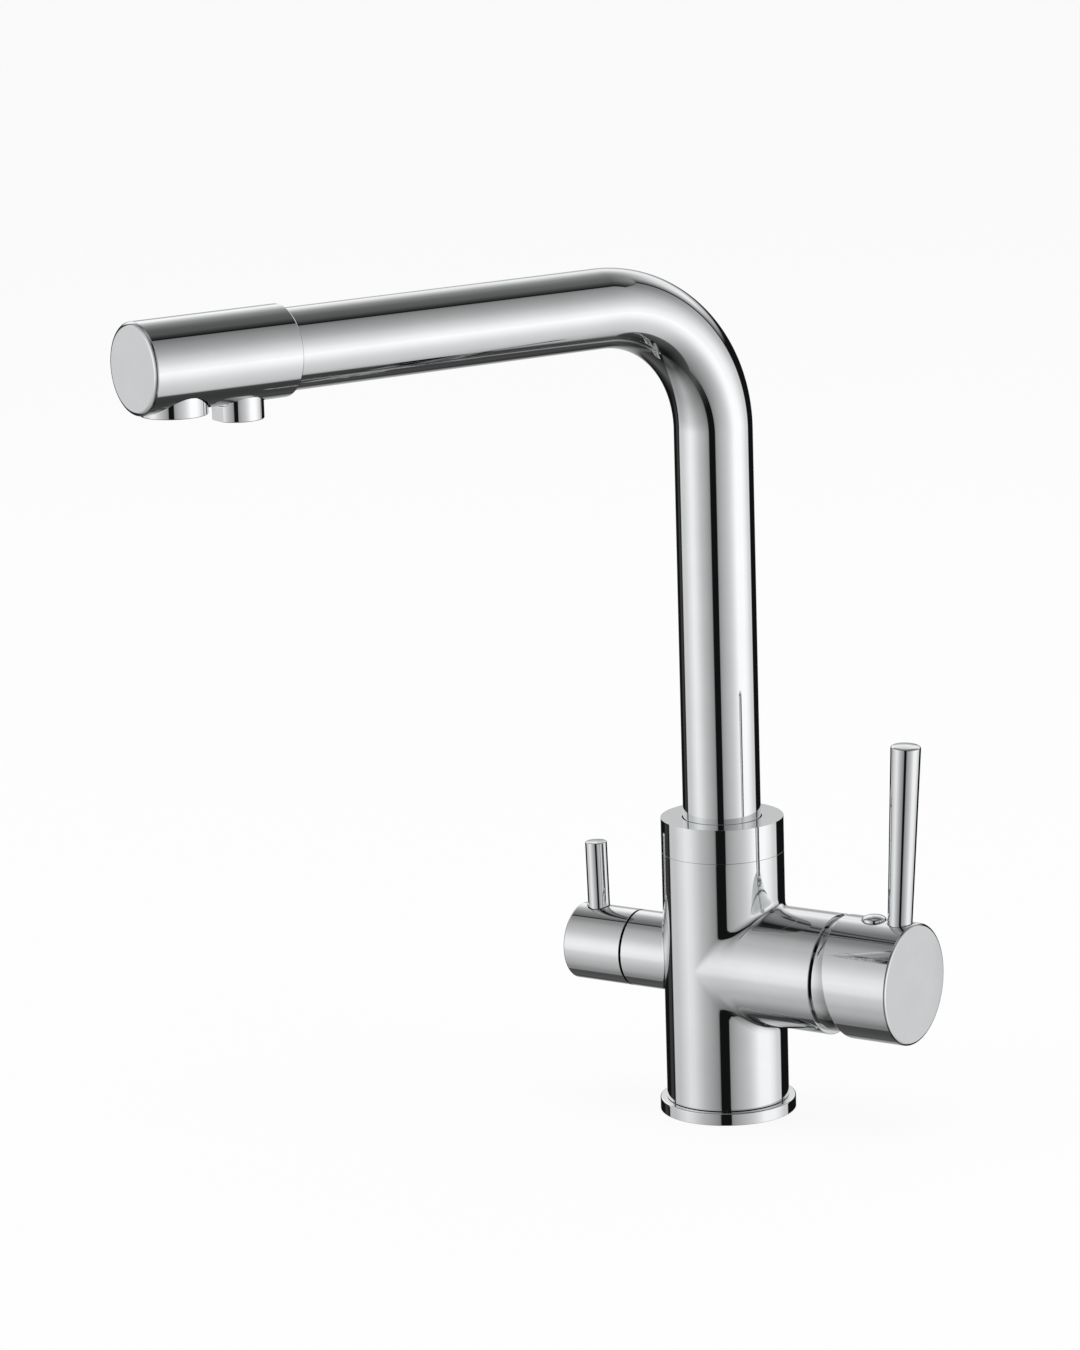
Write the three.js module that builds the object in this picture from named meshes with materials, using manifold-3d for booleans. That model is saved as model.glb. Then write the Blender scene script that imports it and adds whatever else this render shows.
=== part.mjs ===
// Three way filtered water tap: a body with a hot and cold mixer on its right (+X), a quarter turn
// valve for filtered water on its left (-X), and a swivelling L spout with two outlets.
// Millimetres, +Z up. The origin is the middle of the base flange's underside, at deck level.

import * as THREE from 'three';
import { mergeVertices } from 'three/addons/utils/BufferGeometryUtils.js';
import Module from 'manifold-3d';

const wasm = await Module();
wasm.setup();

// ---------------------------------------------------------------- clearances
const GAP = 0.3;            // between two pieces that touch on the real tap
const RUN = 0.3;            // radial, between a shaft or spigot and its bore
const PAST = 1;             // how far a cut or a joined piece runs past the face that it meets

// ---------------------------------------------------------------- small O-rings, on stem and spindle
const SMALL_SEAL_SECTION = 0.55;    // radius of the section
const SMALL_SEAL_INSET = 0.4;       // of the section's middle, below the shaft's surface
const SMALL_GROOVE_DEPTH = 1.1;
const SMALL_GROOVE_HALF = 0.9;      // half the groove's width

// ---------------------------------------------------------------- facets round a full turn
const SIDES_LARGE = 36;
const SIDES_ROUND = 28;
const SIDES_MEDIUM = 24;
const SIDES_SMALL = 16;
const SIDES_FINE = 10;

// ---------------------------------------------------------------- base and body
const FLANGE_RADIUS = 24.6;
const FLANGE_HEIGHT = 4.5;
const FLANGE_CHAMFER = 0.5;
const BASE_SEAL_RADIUS = 21.6;      // middle of the seal's width
const BASE_SEAL_WIDTH = 1.5;
const BASE_SEAL_HEIGHT = 1.7;
const SPIGOT_RADIUS = 18.5;         // foot of the body, inside the flange
const SPIGOT_BOTTOM = 1.2;
const BODY_RADIUS = 22.1;
const BODY_TOP = 96.2;
const BODY_CHAMFER = 0.3;

// hose side of the body
const RECESS_RADIUS = 16;
const RECESS_ROOF = 8;
const INLET_THREAD_RADIUS = 4.4;    // M10 hose thread
const INLET_THREAD_DEPTH = 12;
const RISER_RADIUS = 3.5;           // hot and cold
const RISER_X = 8.6;
const RISER_Y = 7.5;
const FILTER_RISER_RADIUS = 3;
const FILTER_RISER_X = -8.6;
const STUD_HOLE_RADIUS = 3.4;       // M8 fixing stud
const STUD_HOLE_DEPTH = 16;
const STUD_HOLE_Y = 12;

// ---------------------------------------------------------------- spout seat in the body's top
const SEAT_DEPTH = 20.2;
const SEAT_FLOOR = BODY_TOP - SEAT_DEPTH;
const SEAT_RADIUS = 16.3;
const SEAT_STEP = 11;               // from the seat's floor to the step that carries the lower bearing
const SEAT_SHOULDER = SEAT_FLOOR + SEAT_STEP;
const SEAT_THREAD_RADIUS = 19.2;
const MIXED_PORT_RADIUS = 4;
const MIXED_PORT_X = 9.4;
const MIXED_PORT_RISE = 8.5;        // above the mixer's axis
const STEM_RADIUS = 4;
const STEM_BORE_RADIUS = 1.6;
const STEM_RISE = 11;               // above the seat's floor
const STEM_TOP = SEAT_FLOOR + STEM_RISE;
const STEM_SEAL_DROP = 2.6;         // from the stem's top to its O-ring
const STEM_SOCKET_DEPTH = 6;
const FILTER_PASSAGE_RADIUS = 2.2;

// ---------------------------------------------------------------- mixer, about its own X axis
const MIXER_HEIGHT = 55.65;
const BRANCH_RADIUS = 21.72;
const BRANCH_END = 47.6;
const BRANCH_CHAMFER = 0.5;
const BRANCH_FILLET = 5;
const CHAMBER_FLOOR = 16;
const CHAMBER_THREAD_RADIUS = 19.3;
const CARTRIDGE_RADIUS = 17.5;      // the common 35 mm cartridge
const CARTRIDGE_BASE_THICKNESS = 3;
const CARTRIDGE_SHOULDER = 39.9;
const CARTRIDGE_WALL = 2.2;
const NECK_RADIUS = 15;
const NECK_END = 54;
const NECK_WALL = 2.5;
const PORT_SEAL_THICKNESS = 1.2;
const PORT_SEAL_RADIUS = 13.5;
const PORT_RADIUS = 3.3;
const INLET_PORT_DROP = 5;          // of the hot and cold ports, below the cartridge's axis
const PEG_RADIUS = 1.6;
const PEG_LENGTH = 2.4;
const PEG_Y = 12.8;
const PEG_RISE = 3.6;               // above the cartridge's axis
const DISC_CLEARANCE = 0.9;         // between the fixed disc and the housing
const DISC_THICKNESS = 3.8;
const MOVING_DISC_RADIUS = 11.4;
const MOVING_DISC_THICKNESS = 3.4;
const DISC_RECESS_DEPTH = 1.8;
const DISC_RECESS_RADIUS = 6.3;
const CARRIER_THICKNESS = 8.4;
const PIVOT_X = 50.5;               // where the spindle rocks
const SPINDLE_REACH = 16;           // from the pivot to the finger's tip
const FLOW_ANGLE = 22;              // degrees, shut to full flow
const FINGER_RADIUS = 2.8;
const HUB_RADIUS = 5;
const HUB_BACK = 6;                 // length of the round hub behind the pivot
const HUB_FRONT = 5;
const SQUARE_HALF = 4;              // 8 mm square spindle
const SQUARE_END = 66;
const PIN_RADIUS = 1.5;
const PIN_INSET = 0.7;              // of the pin's ends, below the sleeve's surface
const SLEEVE_END = 54.5;
const NUT_LENGTH = 4.6;
const NUT_NOTCH_WIDTH = 4;
const NUT_NOTCH_DEPTH = 1.6;
const COVER_CLEARANCE = 0.4;        // between the domed cover and the inside of the handle
const COVER_BORE_CLEARANCE = 0.5;   // between the cover and the cartridge's neck
const COVER_END = 56;
const COVER_SKIRT = 2.3;

// mixer handle
const HANDLE_RADIUS = 21.9;
const HANDLE_END = 78;
const HANDLE_RIM = 53.9;            // at the height of the axis
const RIM_SLANT = 8.9;              // degrees, the top of the rim reaches further back
const HANDLE_WALL = 1.4;
const HANDLE_CAVITY_END = 66;
const HANDLE_EDGE = 0.6;
const HANDLE_HUB_RADIUS = 8;
const HANDLE_HUB_START = 59.5;
const PLUG_X = 61.4;
const PLUG_RADIUS = 4.55;
const PLUG_PROUD = 1;
const PLUG_SEAT_DEPTH = 0.8;
const PLUG_RIM = 0.45;              // height of the plug's straight rim
const PLUG_SHANK_RADIUS = 2.9;
const PLUG_SHANK_LENGTH = 5;
const BOSS_RADIUS = 4.8;
const GRUB_RADIUS = 2.4;            // M5
const KEY_SIDES = 6;                // hexagonal key holes in the grub screws
const KEY_DEPTH = 2.2;
const GRUB_LENGTH = 8;
const LEVER_X = 72.4;
const LEVER_LEAN = 3;               // degrees, outward
const LEVER_FOOT_RADIUS = 4.4;
const LEVER_TOP_RADIUS = 5.4;
const LEVER_LENGTH = 64.8;          // above the handle's surface
const LEVER_SEAT_DEPTH = 1.4;
const LEVER_STUB_RADIUS = 2.85;
const LEVER_STUB_LENGTH = 6;
const LEVER_EDGE = 1;
const LEVER_CROWN = 0.4;            // rise of the lever's domed top

// ---------------------------------------------------------------- filter valve, about its own axis
const FILTER_HEIGHT = 55.25;
const FILTER_RADIUS = 13.95;
const FILTER_BRANCH_END = 36;
const FILTER_CHAMBER_FLOOR = 14;
const FILTER_CHAMBER_RADIUS = 9.2;
const FILTER_THREAD_RADIUS = 10;    // bore of the thread, M20
const FILTER_THREAD_START = 24;
const HEADWORK_BORE = 7.2;
const HEADWORK_START = 15.2;
const HEADWORK_BORE_END = 27;
const HEADWORK_FLANGE_RADIUS = 11.6;
const HEADWORK_FLANGE = 2.6;
const HEADWORK_NECK_RADIUS = 7.2;
const HEADWORK_NECK_END = 45;
const HEADWORK_WINDOW_HALF = 3.2;
const VALVE_SEAL_BORE = 3.6;
const VALVE_SEAL_LENGTH = 2;
const VALVE_DISC_THICKNESS = 2.5;
const VALVE_HOLE_RADIUS = 1.85;
const VALVE_HOLE_OFFSET = 3.8;
const SPINDLE_FOOT_LENGTH = 3.4;
const SPINDLE_RADIUS = 4;
const SPINDLE_END = 55.4;
const SPINDLE_SEAL_AT = 33;
const CLIP_AT = 45.5;
const CLIP_THICKNESS = 1;
const CLIP_RADIUS = 6;
const CLIP_GROOVE_DEPTH = 0.8;
const CLIP_PLAY = 0.2;
const CLIP_MOUTH_HALF = 2.5;        // half the clip's open side
const FILTER_HANDLE_END = 60.3;
const FILTER_HANDLE_WALL = 1.9;
const FILTER_CAVITY_END = 48.6;
const FILTER_HANDLE_EDGE = 1.4;
const FILTER_LEVER_X = 53.3;
const FILTER_LEVER_LEAN = 1.5;
const FILTER_LEVER_RADIUS = 4;
const FILTER_LEVER_LENGTH = 24;
const FILTER_LEVER_SEAT = 1.2;
const FILTER_STUB_RADIUS = 2.4;
const FILTER_STUB_LENGTH = 4.5;
const FILTER_LEVER_CHAMFER = 0.6;
const FILTER_GRUB_RADIUS = 1.9;     // M4
const FILTER_GRUB_INSET = 1;        // nearer to the branch than the lever's axis
const FILTER_GRUB_LENGTH = 5;

// ---------------------------------------------------------------- swivel, collar and spout
const COLLAR_HEIGHT = 12.2;
const COLLAR_CHAMFER = 0.3;
const BEARING_HEIGHT = 1.8;
const FOOT_RADIUS = 16;
const FOOT_FLANGE_HEIGHT = 2.4;
const FOOT_BORE_RADIUS = 10.4;
const FOOT_LEDGE_RADIUS = 9.2;
const FOOT_LEDGE_HEIGHT = 7.6;
const FOOT_SLEEVE_HEIGHT = 11;      // inside the tube
const FOOT_SEAL_SECTION = 0.8;      // radius of the space for an O-ring's section
const FOOT_SEAL_PLAY = 0.1;
const FOOT_SEAL_PROUD = 0.15;
const FOOT_SEAL_SPACING = 3.8;
const FOOT_SEAL_FIRST = 3.2;        // above the foot's lower end
const TUBE_RADIUS = 14;
const TUBE_WALL = 1;
const BEND_RADIUS = 48;
const BEND_STEPS = 10;
const SPOUT_HEIGHT = 297.6;         // axis of the arm
const SPOUT_TURN = -113.7;          // degrees from +X, where the arm points at rest
const HEAD_END = 232.8;             // from the riser's axis
const HEAD_RADIUS = 15.75;
const HEAD_SOCKET_DEPTH = 7.4;
const HEAD_SOCKET_END_GAP = 0.4;    // from the tube's socket to the filtered water's chamber
const HEAD_WALL = 2.5;
const HEAD_END_WALL = 3.3;
const HEAD_EDGE = 0.8;

// filtered water line inside the spout
const CONNECTOR_RADIUS = 6.3;
const CONNECTOR_RISE = 2.7;         // above the spout foot's lower end
const CONNECTOR_HEIGHT = 13;
const CONNECTOR_SOCKET_DEPTH = 9;
const CONNECTOR_RIB = 2;
const CONNECTOR_RIB_HEIGHT = 5;
const BARB_RADIUS = 2.4;
const BARB_LENGTH = 8;
const LINE_BORE_RADIUS = 1.5;
const HOSE_RADIUS = 4;
const HOSE_BORE_RADIUS = 2.7;
const NIPPLE_FLANGE_RADIUS = 4.2;
const NIPPLE_FLANGE_LENGTH = 2;
const NIPPLE_STUB_LENGTH = 2.3;
const NIPPLE_STUB_RADIUS = 2.7;

// outlets under the head
const MAINS_FROM_END = 14.9;        // from the head's end face
const MAINS_RADIUS = 11.25;
const MAINS_DROP = 1.4;             // below the head
const MAINS_RING_TOP = -11.1;       // from the arm's axis
const MAINS_NECK_RADIUS = 9.6;
const MAINS_NECK_TOP = -7;
const MAINS_COLLAR_RADIUS = 12.4;
const OUTLET_SPACING = 24.6;
const FILTERED_RADIUS = 8.75;
const FILTERED_DROP = 5.7;
const FILTERED_RING_TOP = -13;
const FILTERED_NECK_RADIUS = 7.3;
const FILTERED_NECK_TOP = -8;
const FILTERED_CHAMBER_WALL = 2;
const FILTERED_CHAMBER_TOP = 5.5;
const FILTERED_FLAT = 7.9;          // from the axis to a spanner flat
const FILTERED_FLAT_HEIGHT = 5;
const OUTLET_WALL = 1;
const OUTLET_LIP = 0.9;
const OUTLET_SEAL_HEIGHT = 1.2;
const OUTLET_LEDGE_WIDTH = 2;
const OUTLET_LEDGE_HEIGHT = 2;
const INSERT_HOLE_RADIUS = 1.3;
const INSERT_WALL = 1.2;
const INSERT_FLOOR = 2.5;
const MAINS_JET_PITCH = 4.8;        // radius of the ring of jet holes
const FILTERED_JET_PITCH = 3.5;

// ---------------------------------------------------------------- materials
const finish = (color, roughness, metalness) => (
  new THREE.MeshStandardMaterial({ color, roughness, metalness })
);
const CHROME = finish(0xd8dadc, 0.05, 1);
const BRASS = finish(0xc9a45a, 0.3, 1);
const STEEL = finish(0xa9abad, 0.3, 1);
const CERAMIC = finish(0xf0eee8, 0.25, 0);
const WHITE_PLASTIC = finish(0xe9e9e4, 0.45, 0);
const GREY_PLASTIC = finish(0x8b8f94, 0.5, 0);
const BLACK_RUBBER = finish(0x1c1c1e, 0.7, 0);
const CLEAR_HOSE = finish(0xdfe4e6, 0.4, 0);

// ---------------------------------------------------------------- shape helpers
const radians = THREE.MathUtils.degToRad;

/** A manifold solid from a closed three.js geometry, with its faces turned outward. */
function solidOf(geometry) {
  const bare = geometry.clone();
  bare.deleteAttribute('normal');
  bare.deleteAttribute('uv');
  const merged = mergeVertices(bare, 1e-4);
  const vertProperties = new Float32Array(merged.attributes.position.array);
  const corners = merged.index.array;
  const kept = [];
  let volume = 0;
  const [a, b, c] = [new THREE.Vector3(), new THREE.Vector3(), new THREE.Vector3()];
  for (let i = 0; i < corners.length; i += 3) {
    const [p, q, r] = [corners[i], corners[i + 1], corners[i + 2]];
    if (p === q || q === r || r === p) continue;
    kept.push(p, q, r);
    a.fromArray(vertProperties, 3 * p);
    b.fromArray(vertProperties, 3 * q);
    c.fromArray(vertProperties, 3 * r);
    volume += a.dot(b.cross(c));
  }
  if (volume < 0) kept.reverse();
  const triVerts = new Uint32Array(kept);
  return new wasm.Manifold(new wasm.Mesh({ numProp: 3, vertProperties, triVerts }));
}

/** A three.js geometry with the faces of a manifold solid. */
function geometryOf(solid) {
  const { vertProperties, triVerts } = solid.getMesh();
  const geometry = new THREE.BufferGeometry();
  geometry.setAttribute('position', new THREE.BufferAttribute(new Float32Array(vertProperties), 3));
  geometry.setIndex(new THREE.BufferAttribute(new Uint32Array(triVerts), 1));
  geometry.computeVertexNormals();
  return geometry;
}

/** Turns a geometry made along three.js's Y axis to lie along the named axis. */
function alignTo(geometry, axis) {
  if (axis === 'Z') geometry.rotateX(Math.PI / 2);
  if (axis === 'X') geometry.rotateX(Math.PI / 2).rotateY(Math.PI / 2);
  return geometry;
}

/** Solid of revolution. The outline is a list of [radius, place along the axis]. */
function turned(outline, sides, axis = 'Z') {
  const points = outline.map(([radius, along]) => new THREE.Vector2(Math.max(radius, 0), along));
  if (outline[0][0] > 0) points.push(points[0].clone());
  return solidOf(alignTo(new THREE.LatheGeometry(points, sides), axis));
}

/** Round bar from one place to another along an axis. */
function bar(radius, from, to, sides, axis = 'Z') {
  return turned([[0, from], [radius, from], [radius, to], [0, to]], sides, axis);
}

/** Plain ring with a round bore. */
function ring(bore, radius, from, to, sides, axis = 'Z') {
  return turned([[bore, from], [radius, from], [radius, to], [bore, to]], sides, axis);
}

/** O-ring with a round section. */
function sealRing(middle, section, along, sides, axis = 'Z') {
  const geometry = new THREE.TorusGeometry(middle, section, 6, sides);
  if (axis === 'X') geometry.rotateY(Math.PI / 2);
  geometry.translate(...(axis === 'X' ? [along, 0, 0] : [0, 0, along]));
  return solidOf(geometry);
}

/** Box between two corners. */
function block([x0, y0, z0], [x1, y1, z1]) {
  const geometry = new THREE.BoxGeometry(x1 - x0, y1 - y0, z1 - z0);
  return solidOf(geometry.translate((x0 + x1) / 2, (y0 + y1) / 2, (z0 + z1) / 2));
}

/** A solid moved by an offset. */
const moved = (solid, x, y, z) => solid.translate([x, y, z]);

/** All the solids of a list as one. */
const joined = (solids) => solids.reduce((all, solid) => all.add(solid));

/** Points of a square groove round a shaft. */
function groove(radius, depth, half, along) {
  return [
    [radius, along - half],
    [radius - depth, along - half],
    [radius - depth, along + half],
    [radius, along + half],
  ];
}

/** Points of a quarter round, from the side of a turned piece to its end. */
function quarterRound(radius, end, edge, steps) {
  const points = [];
  for (let i = 0; i <= steps; i += 1) {
    const angle = (i / steps) * (Math.PI / 2);
    points.push([radius - edge + edge * Math.cos(angle), end - edge + edge * Math.sin(angle)]);
  }
  return points;
}

/** A named mesh of one sub-part. */
function piece(name, solid, material) {
  const mesh = new THREE.Mesh(geometryOf(solid), material);
  mesh.name = name;
  return mesh;
}

/** A group of pieces. */
function group(...children) {
  const holder = new THREE.Group();
  holder.add(...children);
  return holder;
}

// ---------------------------------------------------------------- base
function baseFlange() {
  const bore = SPIGOT_RADIUS + GAP;
  const shape = turned([
    [bore, 0],
    [FLANGE_RADIUS, 0],
    [FLANGE_RADIUS, FLANGE_HEIGHT - FLANGE_CHAMFER],
    [FLANGE_RADIUS - FLANGE_CHAMFER, FLANGE_HEIGHT],
    [bore, FLANGE_HEIGHT],
  ], SIDES_LARGE);
  const half = BASE_SEAL_WIDTH / 2 + GAP;
  const depth = BASE_SEAL_HEIGHT + GAP;
  return shape.subtract(
    ring(BASE_SEAL_RADIUS - half, BASE_SEAL_RADIUS + half, -depth, depth, SIDES_LARGE),
  );
}

function baseSeal() {
  const half = BASE_SEAL_WIDTH / 2;
  return ring(BASE_SEAL_RADIUS - half, BASE_SEAL_RADIUS + half, 0, BASE_SEAL_HEIGHT, SIDES_MEDIUM);
}

// ---------------------------------------------------------------- body
/** Ring that rounds the corner between the body and the mixer branch, as a ball rolled in it would. */
function branchFillet() {
  const around = SIDES_LARGE;
  const arcSteps = 3;
  const section = arcSteps + 2;
  const positions = [];
  for (let i = 0; i < around; i += 1) {
    const turn = (i / around) * 2 * Math.PI;
    const out = BRANCH_RADIUS + BRANCH_FILLET;
    const y = out * Math.sin(turn);
    const z = out * Math.cos(turn);
    const x = Math.sqrt(Math.max((BODY_RADIUS + BRANCH_FILLET) ** 2 - y * y, 0));
    const centre = new THREE.Vector3(x, y, z);
    const toBranch = new THREE.Vector3(0, -Math.sin(turn), -Math.cos(turn));
    const toBody = new THREE.Vector3(-x, -y, 0).normalize();
    const spread = toBranch.angleTo(toBody);
    for (let k = 0; k <= arcSteps; k += 1) {
      const angle = (k / arcSteps) * spread;
      const direction = toBranch.clone().multiplyScalar(Math.sin(spread - angle))
        .addScaledVector(toBody, Math.sin(angle)).divideScalar(Math.sin(spread));
      positions.push(...centre.clone().addScaledVector(direction, BRANCH_FILLET).toArray());
    }
    const inward = toBranch.clone().add(toBody).normalize();
    const depth = BRANCH_FILLET / Math.cos(spread / 2) + 1;
    positions.push(...centre.clone().addScaledVector(inward, depth).toArray());
  }
  const index = [];
  for (let i = 0; i < around; i += 1) {
    const next = (i + 1) % around;
    for (let k = 0; k < section; k += 1) {
      const after = (k + 1) % section;
      const [a, b] = [i * section + k, i * section + after];
      const [c, d] = [next * section + k, next * section + after];
      index.push(a, b, d, a, d, c);
    }
  }
  const geometry = new THREE.BufferGeometry();
  geometry.setAttribute('position', new THREE.Float32BufferAttribute(positions, 3));
  geometry.setIndex(index);
  return moved(solidOf(geometry), 0, 0, MIXER_HEIGHT);
}

/** Outside of the casting: upright barrel, mixer branch, filter branch. */
function bodyOutside() {
  const foot = FLANGE_HEIGHT + GAP;
  const barrel = turned([
    [0, SPIGOT_BOTTOM],
    [SPIGOT_RADIUS, SPIGOT_BOTTOM],
    [SPIGOT_RADIUS, foot],
    [BODY_RADIUS, foot],
    [BODY_RADIUS, BODY_TOP - BODY_CHAMFER],
    [BODY_RADIUS - BODY_CHAMFER, BODY_TOP],
    [0, BODY_TOP],
  ], SIDES_LARGE);
  const mixerBranch = turned([
    [0, 0],
    [BRANCH_RADIUS, 0],
    [BRANCH_RADIUS, BRANCH_END - BRANCH_CHAMFER],
    [BRANCH_RADIUS - BRANCH_CHAMFER, BRANCH_END],
    [0, BRANCH_END],
  ], SIDES_LARGE, 'X');
  const filterBranch = bar(FILTER_RADIUS, -FILTER_BRANCH_END, 0, SIDES_ROUND, 'X');
  return joined([
    barrel,
    moved(mixerBranch, 0, 0, MIXER_HEIGHT),
    moved(filterBranch, 0, 0, FILTER_HEIGHT),
    branchFillet(),
  ]);
}

/** Seat for the spout's foot and thread for the collar. */
function spoutSeatCut() {
  return joined([
    bar(SEAT_RADIUS, SEAT_FLOOR, BODY_TOP + PAST, SIDES_MEDIUM),
    bar(SEAT_THREAD_RADIUS, SEAT_SHOULDER, BODY_TOP + PAST, SIDES_MEDIUM),
    bar(STEM_RADIUS + GAP, SEAT_FLOOR - STEM_SOCKET_DEPTH, SEAT_FLOOR + PAST, SIDES_FINE),
  ]);
}

/** Cartridge chamber, its ports and the hot, cold and mixed waterways. */
function mixerCut() {
  const chamberRadius = CARTRIDGE_RADIUS + RUN;
  const chamber = joined([
    bar(chamberRadius, CHAMBER_FLOOR, BRANCH_END + PAST, SIDES_MEDIUM, 'X'),
    bar(CHAMBER_THREAD_RADIUS, CARTRIDGE_SHOULDER, BRANCH_END + PAST, SIDES_MEDIUM, 'X'),
    bar(MIXED_PORT_RADIUS, MIXED_PORT_X, CHAMBER_FLOOR + PAST, SIDES_FINE, 'X')
      .translate([0, 0, MIXED_PORT_RISE]),
  ]);
  const cuts = [moved(chamber, 0, 0, MIXER_HEIGHT)];
  const mixedHeight = MIXER_HEIGHT + MIXED_PORT_RISE;
  cuts.push(moved(bar(MIXED_PORT_RADIUS, mixedHeight, SEAT_FLOOR + PAST, SIDES_FINE), MIXED_PORT_X, 0, 0));
  const portHeight = MIXER_HEIGHT - INLET_PORT_DROP;
  for (const side of [-1, 1]) {
    const y = side * RISER_Y;
    cuts.push(moved(bar(RISER_RADIUS, RECESS_ROOF, portHeight, SIDES_FINE), RISER_X, y, 0));
    cuts.push(moved(bar(RISER_RADIUS, RISER_X, CHAMBER_FLOOR + PAST, SIDES_FINE, 'X'), 0, y, portHeight));
    cuts.push(moved(
      bar(PEG_RADIUS + GAP, CHAMBER_FLOOR - PEG_LENGTH, CHAMBER_FLOOR + PAST, SIDES_FINE, 'X'),
      0, side * PEG_Y, MIXER_HEIGHT + PEG_RISE,
    ));
  }
  return joined(cuts);
}

/** Filter valve chamber with its inlet from below and its passage to the stem. */
function filterCut() {
  const valve = joined([
    bar(FILTER_CHAMBER_RADIUS, -FILTER_BRANCH_END - PAST, -FILTER_CHAMBER_FLOOR, SIDES_MEDIUM, 'X'),
    bar(FILTER_THREAD_RADIUS, -FILTER_BRANCH_END - PAST, -FILTER_THREAD_START, SIDES_MEDIUM, 'X'),
    bar(FILTER_RISER_RADIUS, -FILTER_CHAMBER_FLOOR - PAST, FILTER_RISER_X, SIDES_FINE, 'X'),
  ]);
  const riser = bar(FILTER_RISER_RADIUS, RECESS_ROOF, FILTER_HEIGHT, SIDES_FINE);
  const start = new THREE.Vector3(
    -FILTER_CHAMBER_FLOOR - 1.8 * FILTER_PASSAGE_RADIUS,
    0,
    FILTER_HEIGHT + FILTER_CHAMBER_RADIUS - FILTER_PASSAGE_RADIUS,
  );
  const end = new THREE.Vector3(0, 0, SEAT_FLOOR - STEM_SOCKET_DEPTH + FILTER_PASSAGE_RADIUS / 2);
  const passage = new THREE.ExtrudeGeometry(
    new THREE.Shape().absarc(0, 0, FILTER_PASSAGE_RADIUS, 0, 2 * Math.PI),
    { steps: 1, curveSegments: SIDES_FINE / 2, extrudePath: new THREE.LineCurve3(start, end) },
  );
  return joined([
    moved(valve, 0, 0, FILTER_HEIGHT),
    moved(riser, FILTER_RISER_X, 0, 0),
    solidOf(passage),
  ]);
}

/** Recess, hose threads and stud holes under the body. */
function undersideCut() {
  const inlet = bar(INLET_THREAD_RADIUS, RECESS_ROOF - PAST, RECESS_ROOF + INLET_THREAD_DEPTH, SIDES_SMALL);
  const stud = bar(STUD_HOLE_RADIUS, RECESS_ROOF - PAST, RECESS_ROOF + STUD_HOLE_DEPTH, SIDES_FINE);
  return joined([
    bar(RECESS_RADIUS, SPIGOT_BOTTOM - PAST, RECESS_ROOF, SIDES_MEDIUM),
    moved(inlet, RISER_X, RISER_Y, 0),
    moved(inlet, RISER_X, -RISER_Y, 0),
    moved(inlet, FILTER_RISER_X, 0, 0),
    moved(stud, 0, STUD_HOLE_Y, 0),
    moved(stud, 0, -STUD_HOLE_Y, 0),
  ]);
}

function tapBody() {
  return bodyOutside()
    .subtract(spoutSeatCut())
    .subtract(mixerCut())
    .subtract(filterCut())
    .subtract(undersideCut());
}

// ---------------------------------------------------------------- swivel seat
/** Heights of the pieces stacked in the spout's seat, from the body's shoulder up. */
function seatStack() {
  const lowerBearing = SEAT_SHOULDER + GAP;
  const footFlange = lowerBearing + BEARING_HEIGHT + GAP;
  const tubeStart = footFlange + FOOT_FLANGE_HEIGHT + GAP;
  const collar = BODY_TOP + GAP;
  return { lowerBearing, footFlange, tubeStart, upperBearing: tubeStart, collar };
}

function lowerBearing() {
  const low = seatStack().lowerBearing;
  return ring(FOOT_RADIUS + RUN, SEAT_THREAD_RADIUS - RUN, low, low + BEARING_HEIGHT, SIDES_MEDIUM);
}

function upperBearing() {
  const low = seatStack().upperBearing;
  return ring(TUBE_RADIUS + RUN, SEAT_THREAD_RADIUS - RUN, low, low + BEARING_HEIGHT, SIDES_MEDIUM);
}

/** Retaining collar: screwed into the body's top, it holds the spout's foot down. */
function spoutCollar() {
  const bore = TUBE_RADIUS + RUN;
  const low = seatStack().collar;
  const skirtLow = seatStack().upperBearing + BEARING_HEIGHT + GAP;
  const top = low + COLLAR_HEIGHT;
  return turned([
    [bore, skirtLow],
    [SEAT_THREAD_RADIUS - GAP, skirtLow],
    [SEAT_THREAD_RADIUS - GAP, low],
    [BODY_RADIUS - COLLAR_CHAMFER, low],
    [BODY_RADIUS, low + COLLAR_CHAMFER],
    [BODY_RADIUS, top - COLLAR_CHAMFER],
    [BODY_RADIUS - COLLAR_CHAMFER, top],
    [bore, top],
  ], SIDES_LARGE);
}

/** Fixed pipe that carries filtered water from the body up into the spout's foot. */
function filteredStem() {
  const low = SEAT_FLOOR - STEM_SOCKET_DEPTH + GAP;
  return turned([
    [STEM_BORE_RADIUS, low],
    [STEM_RADIUS, low],
    ...groove(STEM_RADIUS, SMALL_GROOVE_DEPTH, SMALL_GROOVE_HALF, stemSealHeight()),
    [STEM_RADIUS, STEM_TOP],
    [STEM_BORE_RADIUS, STEM_TOP],
  ], SIDES_SMALL);
}

const stemSealHeight = () => STEM_TOP - STEM_SEAL_DROP;

function stemSeal() {
  return sealRing(STEM_RADIUS - SMALL_SEAL_INSET, SMALL_SEAL_SECTION, stemSealHeight(), SIDES_SMALL);
}

// ---------------------------------------------------------------- cartridge, along X
/** Places of the cartridge's layers along the mixer's axis, from the chamber's floor out. */
function cartridgeLayers() {
  const seal = CHAMBER_FLOOR + GAP;
  const base = seal + PORT_SEAL_THICKNESS + GAP;
  const housing = base + CARTRIDGE_BASE_THICKNESS + GAP;
  const fixedDisc = housing;
  const movingDisc = fixedDisc + DISC_THICKNESS + GAP;
  const carrier = movingDisc + MOVING_DISC_THICKNESS + GAP;
  const carrierEnd = carrier + CARRIER_THICKNESS;
  return { seal, base, housing, fixedDisc, movingDisc, carrier, carrierEnd };
}

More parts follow.
